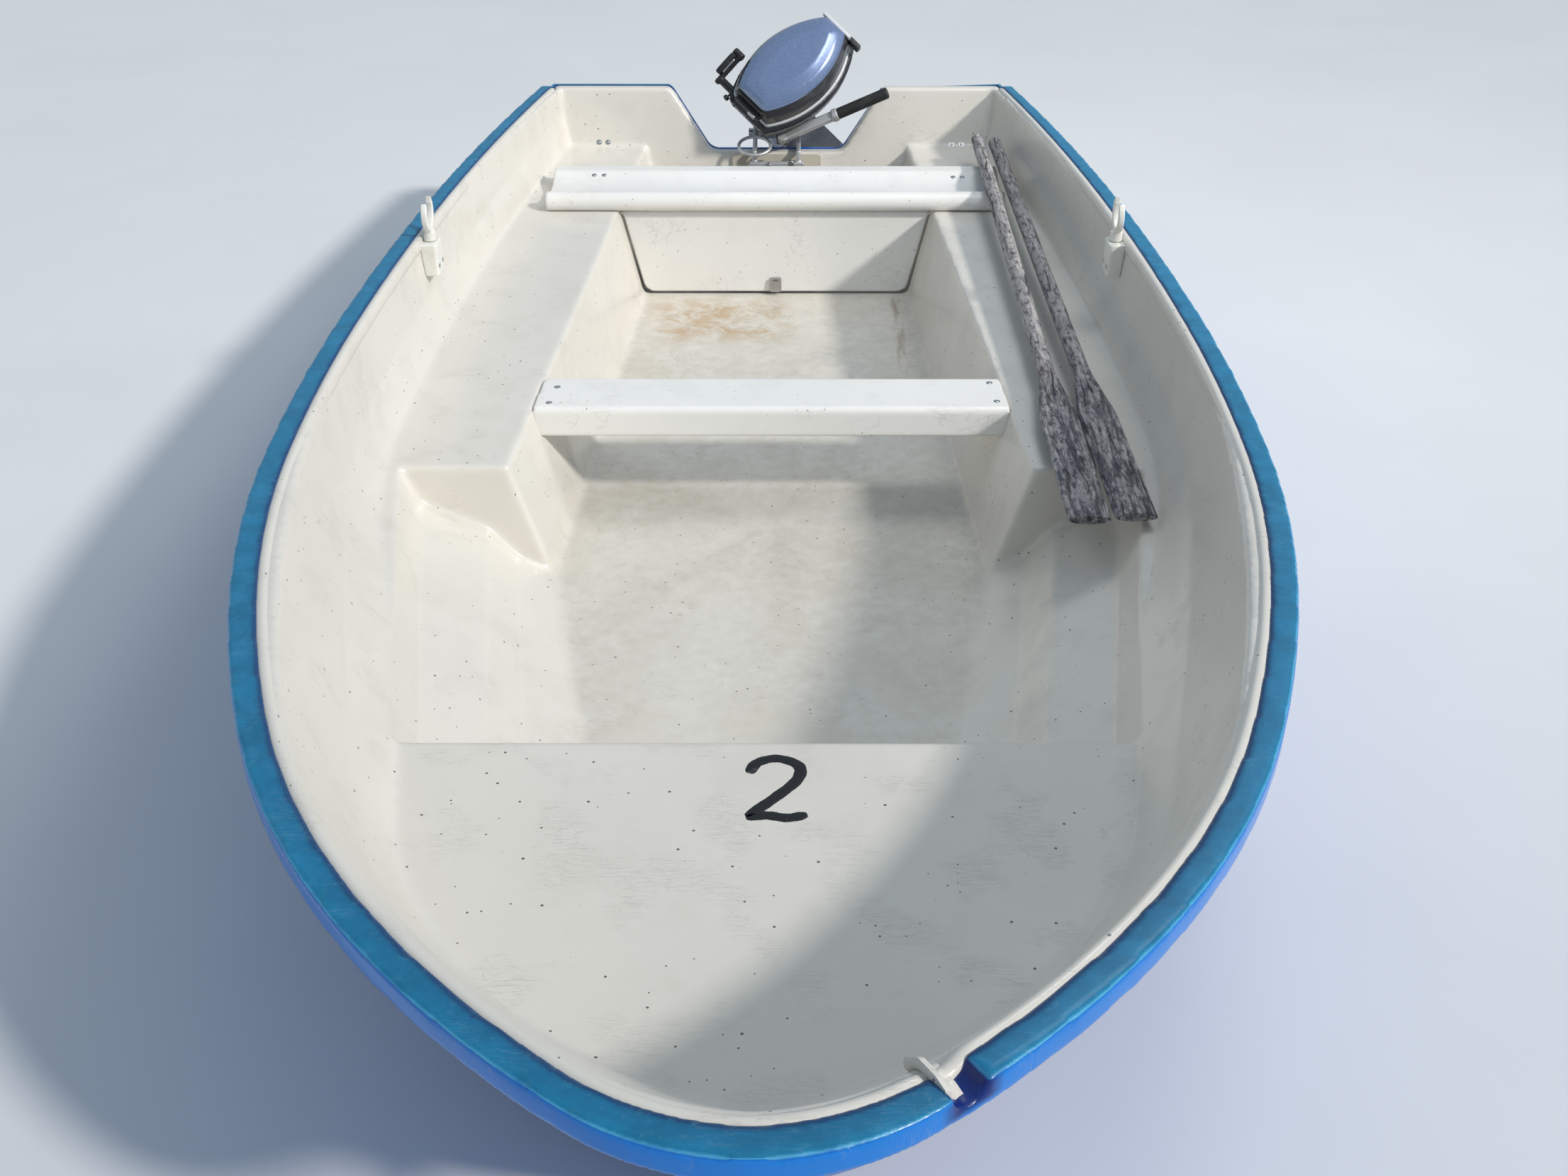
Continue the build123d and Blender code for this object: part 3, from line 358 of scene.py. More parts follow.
def mould(node, name, voxel, passes, most):
    """Copy of a CAD node remeshed and smoothed, so that its edges turn like a moulding's, with a limit to its
    triangles. The strake's long edges are rounded first, because a coarse grid would make them wavy."""
    obj = merged_copy(node, name)
    if node == "rubbing_strake":
        modifier(obj, "BEVEL", width=EDGE_ROUND, segments=2, limit_method="ANGLE", angle_limit=EDGE_ANGLE)
    size = voxel * 1.0
    modifier(obj, "REMESH", mode="VOXEL", voxel_size=size, use_smooth_shade=True)
    modifier(obj, "SMOOTH", factor=0.5, iterations=passes)
    bake(obj)
    triangles = sum(len(face.vertices) - 2 for face in obj.data.polygons)
    if triangles > most:
        modifier(obj, "DECIMATE", ratio=most / triangles)
        bake(obj)
    return obj


def skin(name, bm, rings):
    """Object with a closed tube through equal rings of vertices, and a face at each end."""
    count = len(rings[0])
    for one, two in zip(rings, rings[1:]):
        for i in range(count):
            j = (i + 1) % count
            bm.faces.new((one[i], one[j], two[j], two[i]))
    bm.faces.new(rings[0])
    bm.faces.new(rings[-1][::-1])
    return from_bmesh(name, bm)


def flare(obj):
    """Widens the lower cowl below its seam, as a skirt, and draws it in again towards its foot."""
    port, aft, up, swivel = motor_frame()
    middle = swivel + aft * SKIRT_AFT
    for vertex in obj.data.vertices:
        height = (vertex.co - swivel).dot(up)
        below = max(0.0, min(1.0, (SKIRT_TOP - height) / SKIRT_ROLL))
        above = max(0.0, min(1.0, (height - SKIRT_FOOT) / SKIRT_TAPER))
        grow = SKIRT_GROWTH * below * above
        away = vertex.co - middle
        vertex.co += (port * away.dot(port) + aft * away.dot(aft)) * grow


def slim(obj, joint):
    """Thins a rowlock's shank and lifts the rest, so that the smoothed copy turns clear of its socket."""
    at = next(Vector(item["pos_m"]) for item in frame["joints"] if item["name"] == joint)
    for vertex in obj.data.vertices:
        away = vertex.co.xy - at.xy
        if away.length < SHANK_REACH:
            vertex.co.xy = at.xy + away * SHANK_KEEP
        else:
            vertex.co.z += SHANK_LIFT


def in_motor(x, y, z):
    """Point of the frame that is so many millimetres to port, aft and up of the upright motor's swivel."""
    port, aft, up, swivel = motor_frame()
    return swivel + (port * x + aft * y + up * z) * MM


def block(name, low, high, round_edge):
    """Box between two corners of the upright motor, in millimetres, with rounded edges."""
    bm = bmesh.new()
    bmesh.ops.create_cube(bm, size=1.0)
    for vertex in bm.verts:
        vertex.co = Vector([a + (b - a) * (c + 0.5) for a, b, c in zip(low, high, vertex.co)])
    bmesh.ops.bevel(bm, geom=bm.edges[:], offset=round_edge, segments=4, profile=0.5, affect="EDGES")
    for vertex in bm.verts:
        vertex.co = in_motor(*vertex.co)
    return from_bmesh(name, bm)


def rod(name, spine):
    """Round bar of the upright motor along points of (x, y, z, radius) in millimetres."""
    centres = [Vector(point[:3]) for point in spine]
    bm = bmesh.new()
    rings = []
    for i, (centre, point) in enumerate(zip(centres, spine)):
        along = (centres[min(i + 1, len(spine) - 1)] - centres[max(i - 1, 0)]).normalized()
        one = along.orthogonal().normalized()
        if rings:
            one = (last - along * last.dot(along)).normalized()
        last, two = one, along.cross(one)
        turns = [k * math.tau / ROD_SIDES for k in range(ROD_SIDES)]
        around = [centre + (one * math.cos(a) + two * math.sin(a)) * point[3] for a in turns]
        rings.append([bm.verts.new(in_motor(*place)) for place in around])
    return skin(name, bm, rings)


def rim_height(y):
    """Height of the rim at station y."""
    total = 0.0
    for y0, z0 in RIM:
        share = 1.0
        for y1, _ in RIM:
            if y1 != y0:
                share *= (y - y1) / (y0 - y1)
        total += z0 * share
    return total


def surface_tree(data):
    """A mesh made ready for rays."""
    return BVHTree.FromPolygons([v.co for v in data.vertices], [face.vertices for face in data.polygons])


def rim_path():
    """Points on the strake's inner face at the rim's height, from the port quarter round the bow to the
    starboard quarter, each with its outward direction."""
    tree = surface_tree(frame["nodes"]["rubbing_strake"].data)
    side_steps = int((STERN_RIM - TURN_STATION) / RIM_STEP)
    stations = [STERN_RIM - i * RIM_STEP for i in range(side_steps)]
    turns = [math.radians(180 * i / BOW_STEPS) for i in range(BOW_STEPS + 1)]
    rays = [(y, (1, 0)) for y in stations]
    rays += [(TURN_STATION, (math.cos(a), -math.sin(a))) for a in turns]
    rays += [(y, (-1, 0)) for y in reversed(stations)]
    path = []
    height = rim_height(STERN_RIM)
    for y, way in rays:
        for _ in range(3):
            hit = tree.ray_cast(Vector((0, y, height - BELOW_RIM)), Vector((*way, 0)))[0]
            if hit is None:
                break
            height = rim_height(hit.y)
        if hit is not None and (not path or (hit.xy - path[-1]).length > RIM_STEP * CLOSEST):
            path.append(hit.xy)
    out = []
    for i, point in enumerate(path):
        along = path[min(i + 1, len(path) - 1)] - path[max(i - 1, 0)]
        out.append((Vector((*point, rim_height(point.y))), Vector((-along.y, along.x, 0)).normalized()))
    return out


def sweep(name, path, profile):
    """Closed tube along a path of (point, outward way); profile is a ring of (outward, upward) offsets."""
    bm = bmesh.new()
    rings = [[bm.verts.new(point + way * a + Vector((0, 0, b))) for a, b in profile] for point, way in path]
    return skin(name, bm, rings)


def ribbon(name, points, width, level, lift):
    """Thin painted stroke through the points on a level surface, with round ends and an uneven edge."""
    places = []
    for i in range(len(points) - 1):
        p0, p1, p2, p3 = (Vector(points[max(0, min(len(points) - 1, i + k))]) for k in (-1, 0, 1, 2))
        for j in range(STROKE_STEPS):
            t = j / STROKE_STEPS
            places.append(0.5 * (2 * p1 + (p2 - p0) * t + (2 * p0 - 5 * p1 + 4 * p2 - p3) * t * t
                                 + (3 * p1 - p0 - 3 * p2 + p3) * t ** 3))
    places.append(Vector(points[-1]))
    section = ((-1, lift * 0.2), (-0.6, lift), (0.6, lift), (1, lift * 0.2), (0.6, -MM), (-0.6, -MM))
    bm = bmesh.new()
    rows = []
    for i, place in enumerate(places):
        along = (places[min(i + 1, len(places) - 1)] - places[max(i - 1, 0)]).normalized()
        side = Vector((-along.y, along.x))
        end = min(i, len(places) - 1 - i) / STROKE_STEPS
        uneven = 1 + 0.035 * math.sin(i * 0.9) + 0.02 * math.sin(i * 2.3)
        half = width / 2 * math.sqrt(min(1.0, 0.25 + end * 2)) * uneven
        rows.append([bm.verts.new((*(place + side * half * k), level + rise)) for k, rise in section])
    return skin(name, bm, rows)


def heads_group(material):
    """Geometry nodes: a screw head with its washer on every point, along the point's own direction."""
    group = bpy.data.node_groups.new("Screw heads", "GeometryNodeTree")
    group.interface.new_socket("Geometry", in_out="INPUT", socket_type="NodeSocketGeometry")
    for name, kind in (("Radius", "Float"), ("Height", "Float"), ("Seed", "Int")):
        group.interface.new_socket(name, in_out="INPUT", socket_type="NodeSocket" + kind)
    group.interface.new_socket("Geometry", in_out="OUTPUT", socket_type="NodeSocketGeometry")
    give, take = group.nodes.new("NodeGroupInput"), group.nodes.new("NodeGroupOutput")
    radius, height = give.outputs["Radius"], give.outputs["Height"]
    net = Net(group)
    washer = net.node("GeometryNodeMeshCylinder", {
        "Vertices": 20, "Radius": net.times(radius, 1.5), "Depth": net.times(height, 0.5)})
    dome = net.node("GeometryNodeMeshUVSphere", {"Segments": 18, "Rings": 8, "Radius": radius})
    flat = net.node("GeometryNodeTransform", {"Geometry": dome.outputs["Mesh"], "Scale": (1, 1, 0.45)})
    both = net.node("GeometryNodeJoinGeometry", {0: washer.outputs["Mesh"]})
    group.links.new(flat.outputs["Geometry"], both.inputs[0])
    way = net.node("GeometryNodeInputNamedAttribute", {"Name": "way"}, data_type="FLOAT_VECTOR")
    turn = net.node("FunctionNodeAlignRotationToVector", {"Vector": way.outputs["Attribute"]}, axis="Z")
    spread = net.node("GeometryNodeInstanceOnPoints", {
        "Points": give.outputs["Geometry"], "Instance": both.outputs["Geometry"],
        "Rotation": turn.outputs["Rotation"]})
    vary = net.node("FunctionNodeRandomValue", {
        2: 0.93, 3: 1.05, "Seed": give.outputs["Seed"]}, data_type="FLOAT")
    size = net.node("GeometryNodeScaleInstances", {
        "Instances": spread.outputs["Instances"], "Scale": vary.outputs[1]})
    real = net.node("GeometryNodeRealizeInstances", {"Geometry": size.outputs["Instances"]})
    paint = net.node("GeometryNodeSetMaterial", {"Geometry": real.outputs["Geometry"], "Material": material})
    group.links.new(paint.outputs["Geometry"], take.inputs["Geometry"])
    return group


def screw_heads(name, spots, radius, height):
    """Steel fasteners of the boat at spots of (place, direction), as one plain mesh."""
    mesh = bpy.data.meshes.new(name)
    mesh.from_pydata([place for place, _ in spots], [], [])
    ways = mesh.attributes.new("way", "FLOAT_VECTOR", "POINT")
    for i, (_, direction) in enumerate(spots):
        ways.data[i].vector = direction
    obj = add_object(name, mesh)
    group = heads_group(finish("steel"))
    made = obj.modifiers.new("heads", "NODES")
    made.node_group = group
    sockets = {item.name: item.identifier for item in group.interface.items_tree if item.in_out == "INPUT"}
    made[sockets["Radius"]], made[sockets["Height"]], made[sockets["Seed"]] = radius, height, SCREW_SEED
    finish_piece(bake(obj), "boat", "steel", 35.0)


# Finishes


def gelcoat(name, colour, speckle):
    """Moulded gelcoat: mottled colour, fine dark specks, soft dirt and scuffs."""
    material, net, shader, place = new_material(name, GELCOAT_ROUGH, Coat_Weight=0.25, Coat_Roughness=0.12)
    hull, _ = settings()
    base = net.mix(net.ramp(net.noise(place, 2.2, 5.0), 0.3, 0.7), colour, tuple(c * 0.93 for c in colour))
    stain = dirt_mask(net, place, 3.2, 0.52, 0.82)
    base = net.mix(net.times(stain, DIRT_AMOUNT), base, (0.36, 0.31, 0.24))
    scuffed, relief = scuffing(net, place, 16.0)
    base = net.mix(net.times(scuffed, 0.25), base, (0.30, 0.29, 0.27))
    specks = effect(net, "Gelcoat specks", {"Vector": place, "Spacing": hull.speckle_size, "Amount": speckle})
    base = net.mix(specks["Mask"], base, (0.10, 0.09, 0.08))
    rough = net.plus(net.times(stain, 0.35), GELCOAT_ROUGH)
    return material, net, shader, place, base, rough, relief


def white_gelcoat():
    """Thwart, seat and door: white, with fewer specks than the liner."""
    hull, _ = settings()
    material, net, shader, _, base, rough, relief = gelcoat("White gelcoat", tuple(hull.white), 0.55)
    dress(net, shader, base, rough, relief, 0.25, 0.0006)
    return material


def box_mask(net, place, low, high, soft):
    """1 inside a box of the object's frame, falling to 0 over soft metres."""
    split = net.split(place)
    mask = None
    for axis, (a, b) in enumerate(zip(low, high)):
        up = net.ramp(split[axis], a - soft, a + soft)
        down = net.ramp(split[axis], b - soft, b + soft, 1.0, 0.0)
        both = net.times(up, down)
        mask = both if mask is None else net.times(mask, both)
    return mask


def cream_gelcoat():
    """Liner: cream, with a trodden, rust stained floor, a rougher foot to the sides, and painted shade in the
    gap round the locker door.
    """
    hull, _ = settings()
    material, net, shader, place, base, rough, height = gelcoat("Cream gelcoat", tuple(hull.cream), 0.95)
    high = net.split(place)[2]
    on_floor = net.ramp(high, *FLOOR_ENDS)
    trodden = net.times(on_floor, net.ramp(net.noise(place, 34.0, 8.0, 0.70), 0.30, 0.70))
    worn = net.times(trodden, net.ramp(net.noise(place, 3.5, 5.0, 0.6), 0.30, 0.70, 0.25, 0.70))
    base = net.mix(worn, base, (0.43, 0.395, 0.33))
    ring = net.times(net.ramp(high, *FOOT_ENDS), net.ramp(net.noise(place, 5.0, 6.0), 0.45, 0.7))
    base = net.mix(net.times(ring, 0.28), base, (0.50, 0.45, 0.35))
    (rust_x0, rust_y0), (rust_x1, rust_y1) = STAIN
    there = box_mask(net, place, (rust_x0, rust_y0, -0.1), (rust_x1, rust_y1, 0.1), 0.045)
    rust = net.times(there, net.ramp(net.noise(place, 14.0, 7.0, 0.7, 0.8), 0.40, 0.58))
    base = net.mix(net.times(rust, 0.62), base, (0.44, 0.25, 0.075))
    run_x, run_low, run_high = DRAIN_RUN
    there = box_mask(net, place, (run_x - RUN_HALF, run_low, -0.1), (run_x + RUN_HALF, run_high, 0.1), 0.012)
    run = net.times(there, net.ramp(net.noise(net.mapped(place, (1, 0.15, 1)), 60.0, 5.0), 0.42, 0.6))
    base = net.mix(run, base, (0.20, 0.115, 0.055))
    # Painted shade: the liner's faces in the gap round the locker door, behind the door's face, are painted
    # nearly black.
    (x0, y0, z0), (x1, y1, z1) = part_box("locker_door")
    low = (x0 - DOOR_ROUND, y0 + DOOR_FACE, z0 - DOOR_ROUND)
    door_gap_shade = box_mask(net, place, low, (x1 + DOOR_ROUND, y1 + DOOR_ROUND, z1), 0.0015)
    base = net.mix(net.times(door_gap_shade, 0.92), base, (0.012, 0.012, 0.012))
    grit = net.times(net.noise(place, 420.0, 2.0), net.ramp(high, *GRIT_ENDS))
    relief = net.plus(height, net.times(grit, 0.8))
    rough = net.plus(rough, net.times(trodden, 0.25))
    dress(net, shader, base, rough, relief, 0.35, 0.0008)
    return material


def blue_skin():
    """Outer skin and strake: bright blue, teal on top, scummed at the waterline, with a painted highlight
    along the strake's rounded outer edge and painted shade on its inner face and in the notch.
    """
    hull, _ = settings()
    material, net, shader, place = new_material(
        "Blue gelcoat", 0.3, Coat_Weight=0.12, Coat_Roughness=0.15, Specular_IOR_Level=0.32)
    split = net.split(place)
    normal = net.node("NewGeometry").outputs["Normal"]
    facing = net.split(normal)[2]
    flat = net.node("CombineXYZ", {0: split[0], 1: split[1]}).outputs[0]
    outward = net.node("VectorMath", {0: normal, 1: flat}, operation="DOT_PRODUCT").outputs["Value"]
    on_rail = net.ramp(split[2], *RAIL_ENDS)
    blotch = net.noise(place, 22.0, 6.0, 0.62)
    upward = net.plus(facing, net.times(net.math("SUBTRACT", blotch, 0.5), 0.35))
    bleached = net.times(net.ramp(upward, 0.62, 0.86), on_rail)
    deep = net.mix(net.ramp(net.noise(place, 4.0, 4.0), 0.3, 0.7), tuple(hull.shell_blue),
                   tuple(c * 0.75 for c in hull.shell_blue))
    teal = net.mix(net.ramp(blotch, 0.35, 0.65), tuple(hull.strake_top),
                   tuple(c * 1.35 for c in hull.strake_top))
    base = net.mix(bleached, deep, teal)
    flank = net.times(net.ramp(facing, 0.60, 0.35), net.ramp(outward, 0.0, 0.15))
    base = net.mix(net.times(net.times(flank, on_rail), 0.5), base, (0.004, 0.27, 0.80))
    # Painted highlight: a pale, mottled band along the strake's rounded outer edge, where its surface turns
    # from the side to the top.
    crest_highlight = net.times(net.ramp(facing, 0.50, 0.72), net.ramp(facing, 0.80, 0.95, 1.0, 0.0))
    crest_highlight = net.times(net.times(crest_highlight, on_rail), net.ramp(outward, 0.0, 0.15))
    base = net.mix(net.times(crest_highlight, net.ramp(blotch, 0.30, 0.60, 0.35, 0.85)), base, (0.09, 0.42, 0.68))
    # Painted shade: the strake's inward-facing side, under the liner's lip, is darkened.
    inner = net.times(net.ramp(outward, -0.02, -0.35), on_rail)
    base = net.mix(net.times(inner, 0.85), base, (0.004, 0.035, 0.13))
    # Painted shade: the strake is darkened inside the notch at the port bow, up to just above the rim's
    # height.
    from_notch = net.node("VectorMath", {0: flat, 1: NOTCH_SEAT}, operation="DISTANCE").outputs["Value"]
    rim = rim_height(NOTCH[1])
    notch_shade = net.ramp(from_notch, 0.048, 0.036)
    notch_shade = net.times(notch_shade, net.ramp(split[2], rim + 0.001, rim + 0.005, 1.0, 0.0))
    notch_shade = net.times(notch_shade, net.ramp(split[2], rim - 0.022, rim - 0.014))
    base = net.mix(notch_shade, base, (0.005, 0.022, 0.16))
    chalk = net.times(bleached, net.ramp(net.noise(place, 90.0, 6.0, 0.7), 0.55, 0.75))
    base = net.mix(net.times(chalk, 0.30), base, (0.12, 0.34, 0.46))
    scum = net.times(net.ramp(split[2], *SCUM_ENDS), net.ramp(net.noise(place, 12.0, 6.0), 0.34, 0.6))
    base = net.mix(net.times(scum, 0.5), base, (0.10, 0.13, 0.075))
    scuffed, height = scuffing(net, place, 12.0)
    base = net.mix(net.times(scuffed, 0.15), base, (0.30, 0.42, 0.50))
    rough = net.plus(net.times(bleached, 0.18), net.plus(0.24, net.times(scum, 0.3)))
    dress(net, shader, base, rough, net.plus(height, net.times(blotch, 0.3)), 0.2, 0.0008)
    return material


def nylon():
    """White plastic of the rowlocks, yellowed and scuffed."""
    material, net, shader, place = new_material("White nylon", 0.38, Subsurface_Weight=0.08)
    stain = dirt_mask(net, place, 22.0, 0.5, 0.8)
    base = net.mix(net.times(stain, 0.5), (0.80, 0.79, 0.74), (0.50, 0.45, 0.35))
    rough = net.plus(0.34, net.times(stain, 0.3))
    dress(net, shader, base, rough, net.noise(place, 260.0, 3.0), 0.12, 0.0004)
    return material


def plain_metal(name, colour, roughness, grain, amount=0.35, metallic=1.0):
    """Cast or turned metal with grain and tarnish."""
    material, net, shader, place = new_material(name, roughness, metallic)
    stain = dirt_mask(net, place, 30.0, 0.48, 0.78)
    base = net.mix(net.times(stain, amount), colour, TARNISH)
    rough = net.plus(roughness, net.times(stain, 0.25))
    dress(net, shader, base, rough, net.noise(place, grain, 4.0, 0.6), 0.2, 0.0004)
    return material


def plain_plastic(name, colour, roughness, grain=500.0, wear=(0.25, 0.25, 0.25), amount=0.3):
    """Moulded plastic or paint with fine grain, dust and worn spots."""
    material, net, shader, place = new_material(name, roughness)
    stain = dirt_mask(net, place, 18.0, 0.5, 0.85)
    scuffed, height = scuffing(net, place, 60.0)
    base = net.mix(net.most(net.times(stain, amount), net.times(scuffed, 0.35)), colour, wear)
    relief = net.plus(net.noise(place, grain, 2.0), height)
    dress(net, shader, base, net.plus(roughness, net.times(stain, 0.2)), relief, 0.15, 0.0004)
    return material


def weathered_wood():
    """Oars: silvery open grained wood, mottled with dark blotches and cracks, grain along Y."""
    material, net, shader, place = new_material("Weathered wood", 0.7)
    grain = net.noise(net.mapped(place, (1.0, 0.07, 1.0)), 190.0, 6.0, 0.65, 0.6)
    base = net.mix(net.ramp(grain, 0.33, 0.66), (0.19, 0.175, 0.175), (0.52, 0.50, 0.49))
    blotch = net.ramp(net.noise(net.mapped(place, (1.0, 0.38, 1.0)), 95.0, 7.0, 0.74, 0.4), 0.50, 0.60)
    base = net.mix(net.times(blotch, 0.85), base, (0.045, 0.040, 0.055))
    low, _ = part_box("oar_inner")
    blade = net.ramp(net.split(place)[1], *(low[1] + end for end in BLADE_ENDS))
    base = net.mix(net.times(blade, 0.35), base, (0.72, 0.73, 0.79), "MULTIPLY")
    streak = net.ramp(net.noise(net.mapped(place, (1.0, 0.13, 1.0)), 75.0, 7.0, 0.72, 0.5), 0.47, 0.56)
    base = net.mix(net.times(net.times(streak, blade), 0.8), base, (0.030, 0.030, 0.045))
    crack = net.ramp(net.noise(net.mapped(place, (1.0, 0.08, 1.0)), 60.0, 5.0, 0.62, 1.2), 0.58, 0.68)
    base = net.mix(crack, base, (0.022, 0.020, 0.026))
    old = net.ramp(net.noise(net.mapped(place, (1.0, 0.2, 1.0)), 9.0, 4.0), 0.60, 0.76)
    base = net.mix(net.times(old, 0.25), base, (0.30, 0.20, 0.12))
    relief = net.plus(net.times(grain, 0.6), net.times(crack, -1.2))
    dress(net, shader, base, net.ramp(grain, 0.3, 0.7, 0.85, 0.6), relief, 0.8, 0.0022)
    return material


def black_paint():
    """Brushed enamel of the painted digit, worn through in spots."""
    material, net, shader, place = new_material("Brushed enamel", 0.35)
    thin = net.ramp(net.noise(place, 90.0, 4.0, 0.6), 0.60, 0.72)
    base = net.mix(net.times(thin, 0.35), (0.006, 0.006, 0.008), (0.16, 0.15, 0.14))
    relief = net.noise(net.mapped(place, (1, 3, 1)), 200.0, 3.0)
    dress(net, shader, base, net.ramp(thin, 0.0, 1.0, 0.3, 0.6), relief, 0.3, 0.0005)
    return material


def motor_frame():
    """Axes and a fixed point of the upright motor, from the joints: port, aft and up, and the swivel."""
    joints = {joint["name"]: joint for joint in frame["joints"]}
    up = Vector(joints["motor_steering"]["axis"])
    aft = Vector(joints["propeller_spin"]["axis"])
    swivel = Vector(joints["motor_steering"]["pos_m"])
    return aft.cross(up).normalized(), aft.normalized(), up.normalized(), swivel


def upright_height(net, place):
    """Height of a point in the upright motor, as a shader value."""
    _, _, up, swivel = motor_frame()
    along = net.node("VectorMath", {0: place, 1: tuple(up)}, operation="DOT_PRODUCT").outputs["Value"]
    return net.math("SUBTRACT", along, up.dot(swivel))


def cowl_lacquer():
    """Top of the cowl: blue grey metallic lacquer above a satin dark band."""
    material, net, shader, place = new_material(
        "Cowl lacquer", 0.22, 0.35, Coat_Weight=0.9, Coat_Roughness=0.11)
    above = net.ramp(upright_height(net, place), *LACQUER_EDGE)
    cells = net.node("TexVoronoi", {"Vector": place, "Scale": 900.0}).outputs["Color"]
    glint = net.ramp(net.node("SeparateColor", {"Color": cells}).outputs[0], 0.2, 1.0)
    gloss = net.mix(net.times(glint, 0.5), (0.125, 0.185, 0.345), (0.31, 0.39, 0.57))
    dark = net.mix(net.noise(place, 300.0, 2.0), (0.034, 0.036, 0.046), (0.052, 0.054, 0.066))
    base = net.mix(above, dark, gloss)
    stain = dirt_mask(net, place, 12.0, 0.55, 0.9)
    base = net.mix(net.times(stain, 0.3), base, (0.36, 0.36, 0.36))
    _, relief = scuffing(net, place, 40.0)
    rough = net.plus(net.ramp(above, 0.0, 1.0, 0.42, 0.2), net.times(stain, 0.3))
    dress(net, shader, base, rough, relief, 0.12, 0.0003)
    return material


def pan_paint():
    """Lower cowl: dark paint with light pinstripes round its upper part."""
    material, net, shader, place = new_material("Lower cowl paint", 0.34)
    height = upright_height(net, place)
    line = None
    for low, high in PINSTRIPES:
        above = net.ramp(height, low, low + STRIPE_EDGE)
        one = net.times(above, net.ramp(height, high, high + STRIPE_EDGE, 1.0, 0.0))
        line = one if line is None else net.most(line, one)
    stain = dirt_mask(net, place, 18.0, 0.5, 0.85)
    base = net.mix(net.times(line, 0.9), (0.020, 0.022, 0.030), (0.46, 0.47, 0.49))
    base = net.mix(net.times(stain, 0.3), base, (0.20, 0.20, 0.20))
    rough = net.plus(0.32, net.times(stain, 0.25))
    dress(net, shader, base, rough, net.noise(place, 420.0, 2.0), 0.12, 0.0004)
    return material


MATERIALS = {}


def finish(name):
    """The named finish, made once."""
    if name not in MATERIALS:
        MATERIALS[name] = FINISHES[name]()
    return MATERIALS[name]


PALE_WEAR, GREY_WEAR, BARE = (0.22, 0.23, 0.24), (0.10, 0.10, 0.10), (0.42, 0.42, 0.42)
FINISHES = {
    "cream": cream_gelcoat,
    "white": white_gelcoat,
    "blue": blue_skin,
    "nylon": nylon,
    "wood": weathered_wood,
    "steel": lambda: plain_metal("Stainless steel", (0.52, 0.52, 0.53), 0.24, 300.0),
    "alloy": lambda: plain_metal("Cast alloy", (0.60, 0.61, 0.62), 0.38, 160.0, amount=0.3, metallic=0.6),
    "black": lambda: plain_plastic("Black plastic", (0.012, 0.012, 0.014), 0.42),
    "rubber": lambda: plain_plastic("Black rubber", (0.016, 0.016, 0.016), 0.62, 320.0, GREY_WEAR, 0.4),
    "pad": lambda: plain_plastic("Beige pad", (0.52, 0.48, 0.40), 0.55, 300.0, (0.24, 0.20, 0.14), 0.5),
    "motor": lambda: plain_plastic("Motor paint", (0.030, 0.036, 0.050), 0.34, 420.0, PALE_WEAR, 0.3),
    "cowl": cowl_lacquer,
    "stripe": lambda: plain_plastic("Light stripe", (0.62, 0.64, 0.66), 0.3, 400.0, (0.20, 0.20, 0.21), 0.35),
    "pan": pan_paint,
    "enamel": black_paint,
    "propeller": lambda: plain_plastic("Propeller paint", (0.016, 0.017, 0.019), 0.36, 300.0, BARE, 0.5),
}

# Finishes of the CAD nodes that no moulded copy stands in for
NODE_FINISHES = {
    "wood": ("oar_inner", "oar_outer"),
    "steel": ("door_latch", "tilt_rod"),
    "black": ("drain_plug",),
    "pad": ("transom_pad_aft", "transom_pad_fore"),
    "motor": ("engine_block", "steering_bracket"),
    "alloy": ("swivel_bracket",),
}


# Pieces


class MOTORBOAT_OT_nodes(bpy.types.Operator):
    """Give the pieces that are shown as they come from the frame their finish"""

    bl_idname = "motorboat.nodes"
    bl_label = "Finish the plain pieces"

    def execute(self, context):
        for name, nodes in NODE_FINISHES.items():
            for node in nodes:
                data = frame["nodes"][node].data
                data.materials.clear()
                data.materials.append(finish(name))
        return {"FINISHED"}


ROWLOCKS = ("rowlock_starboard", "rowlock_port")
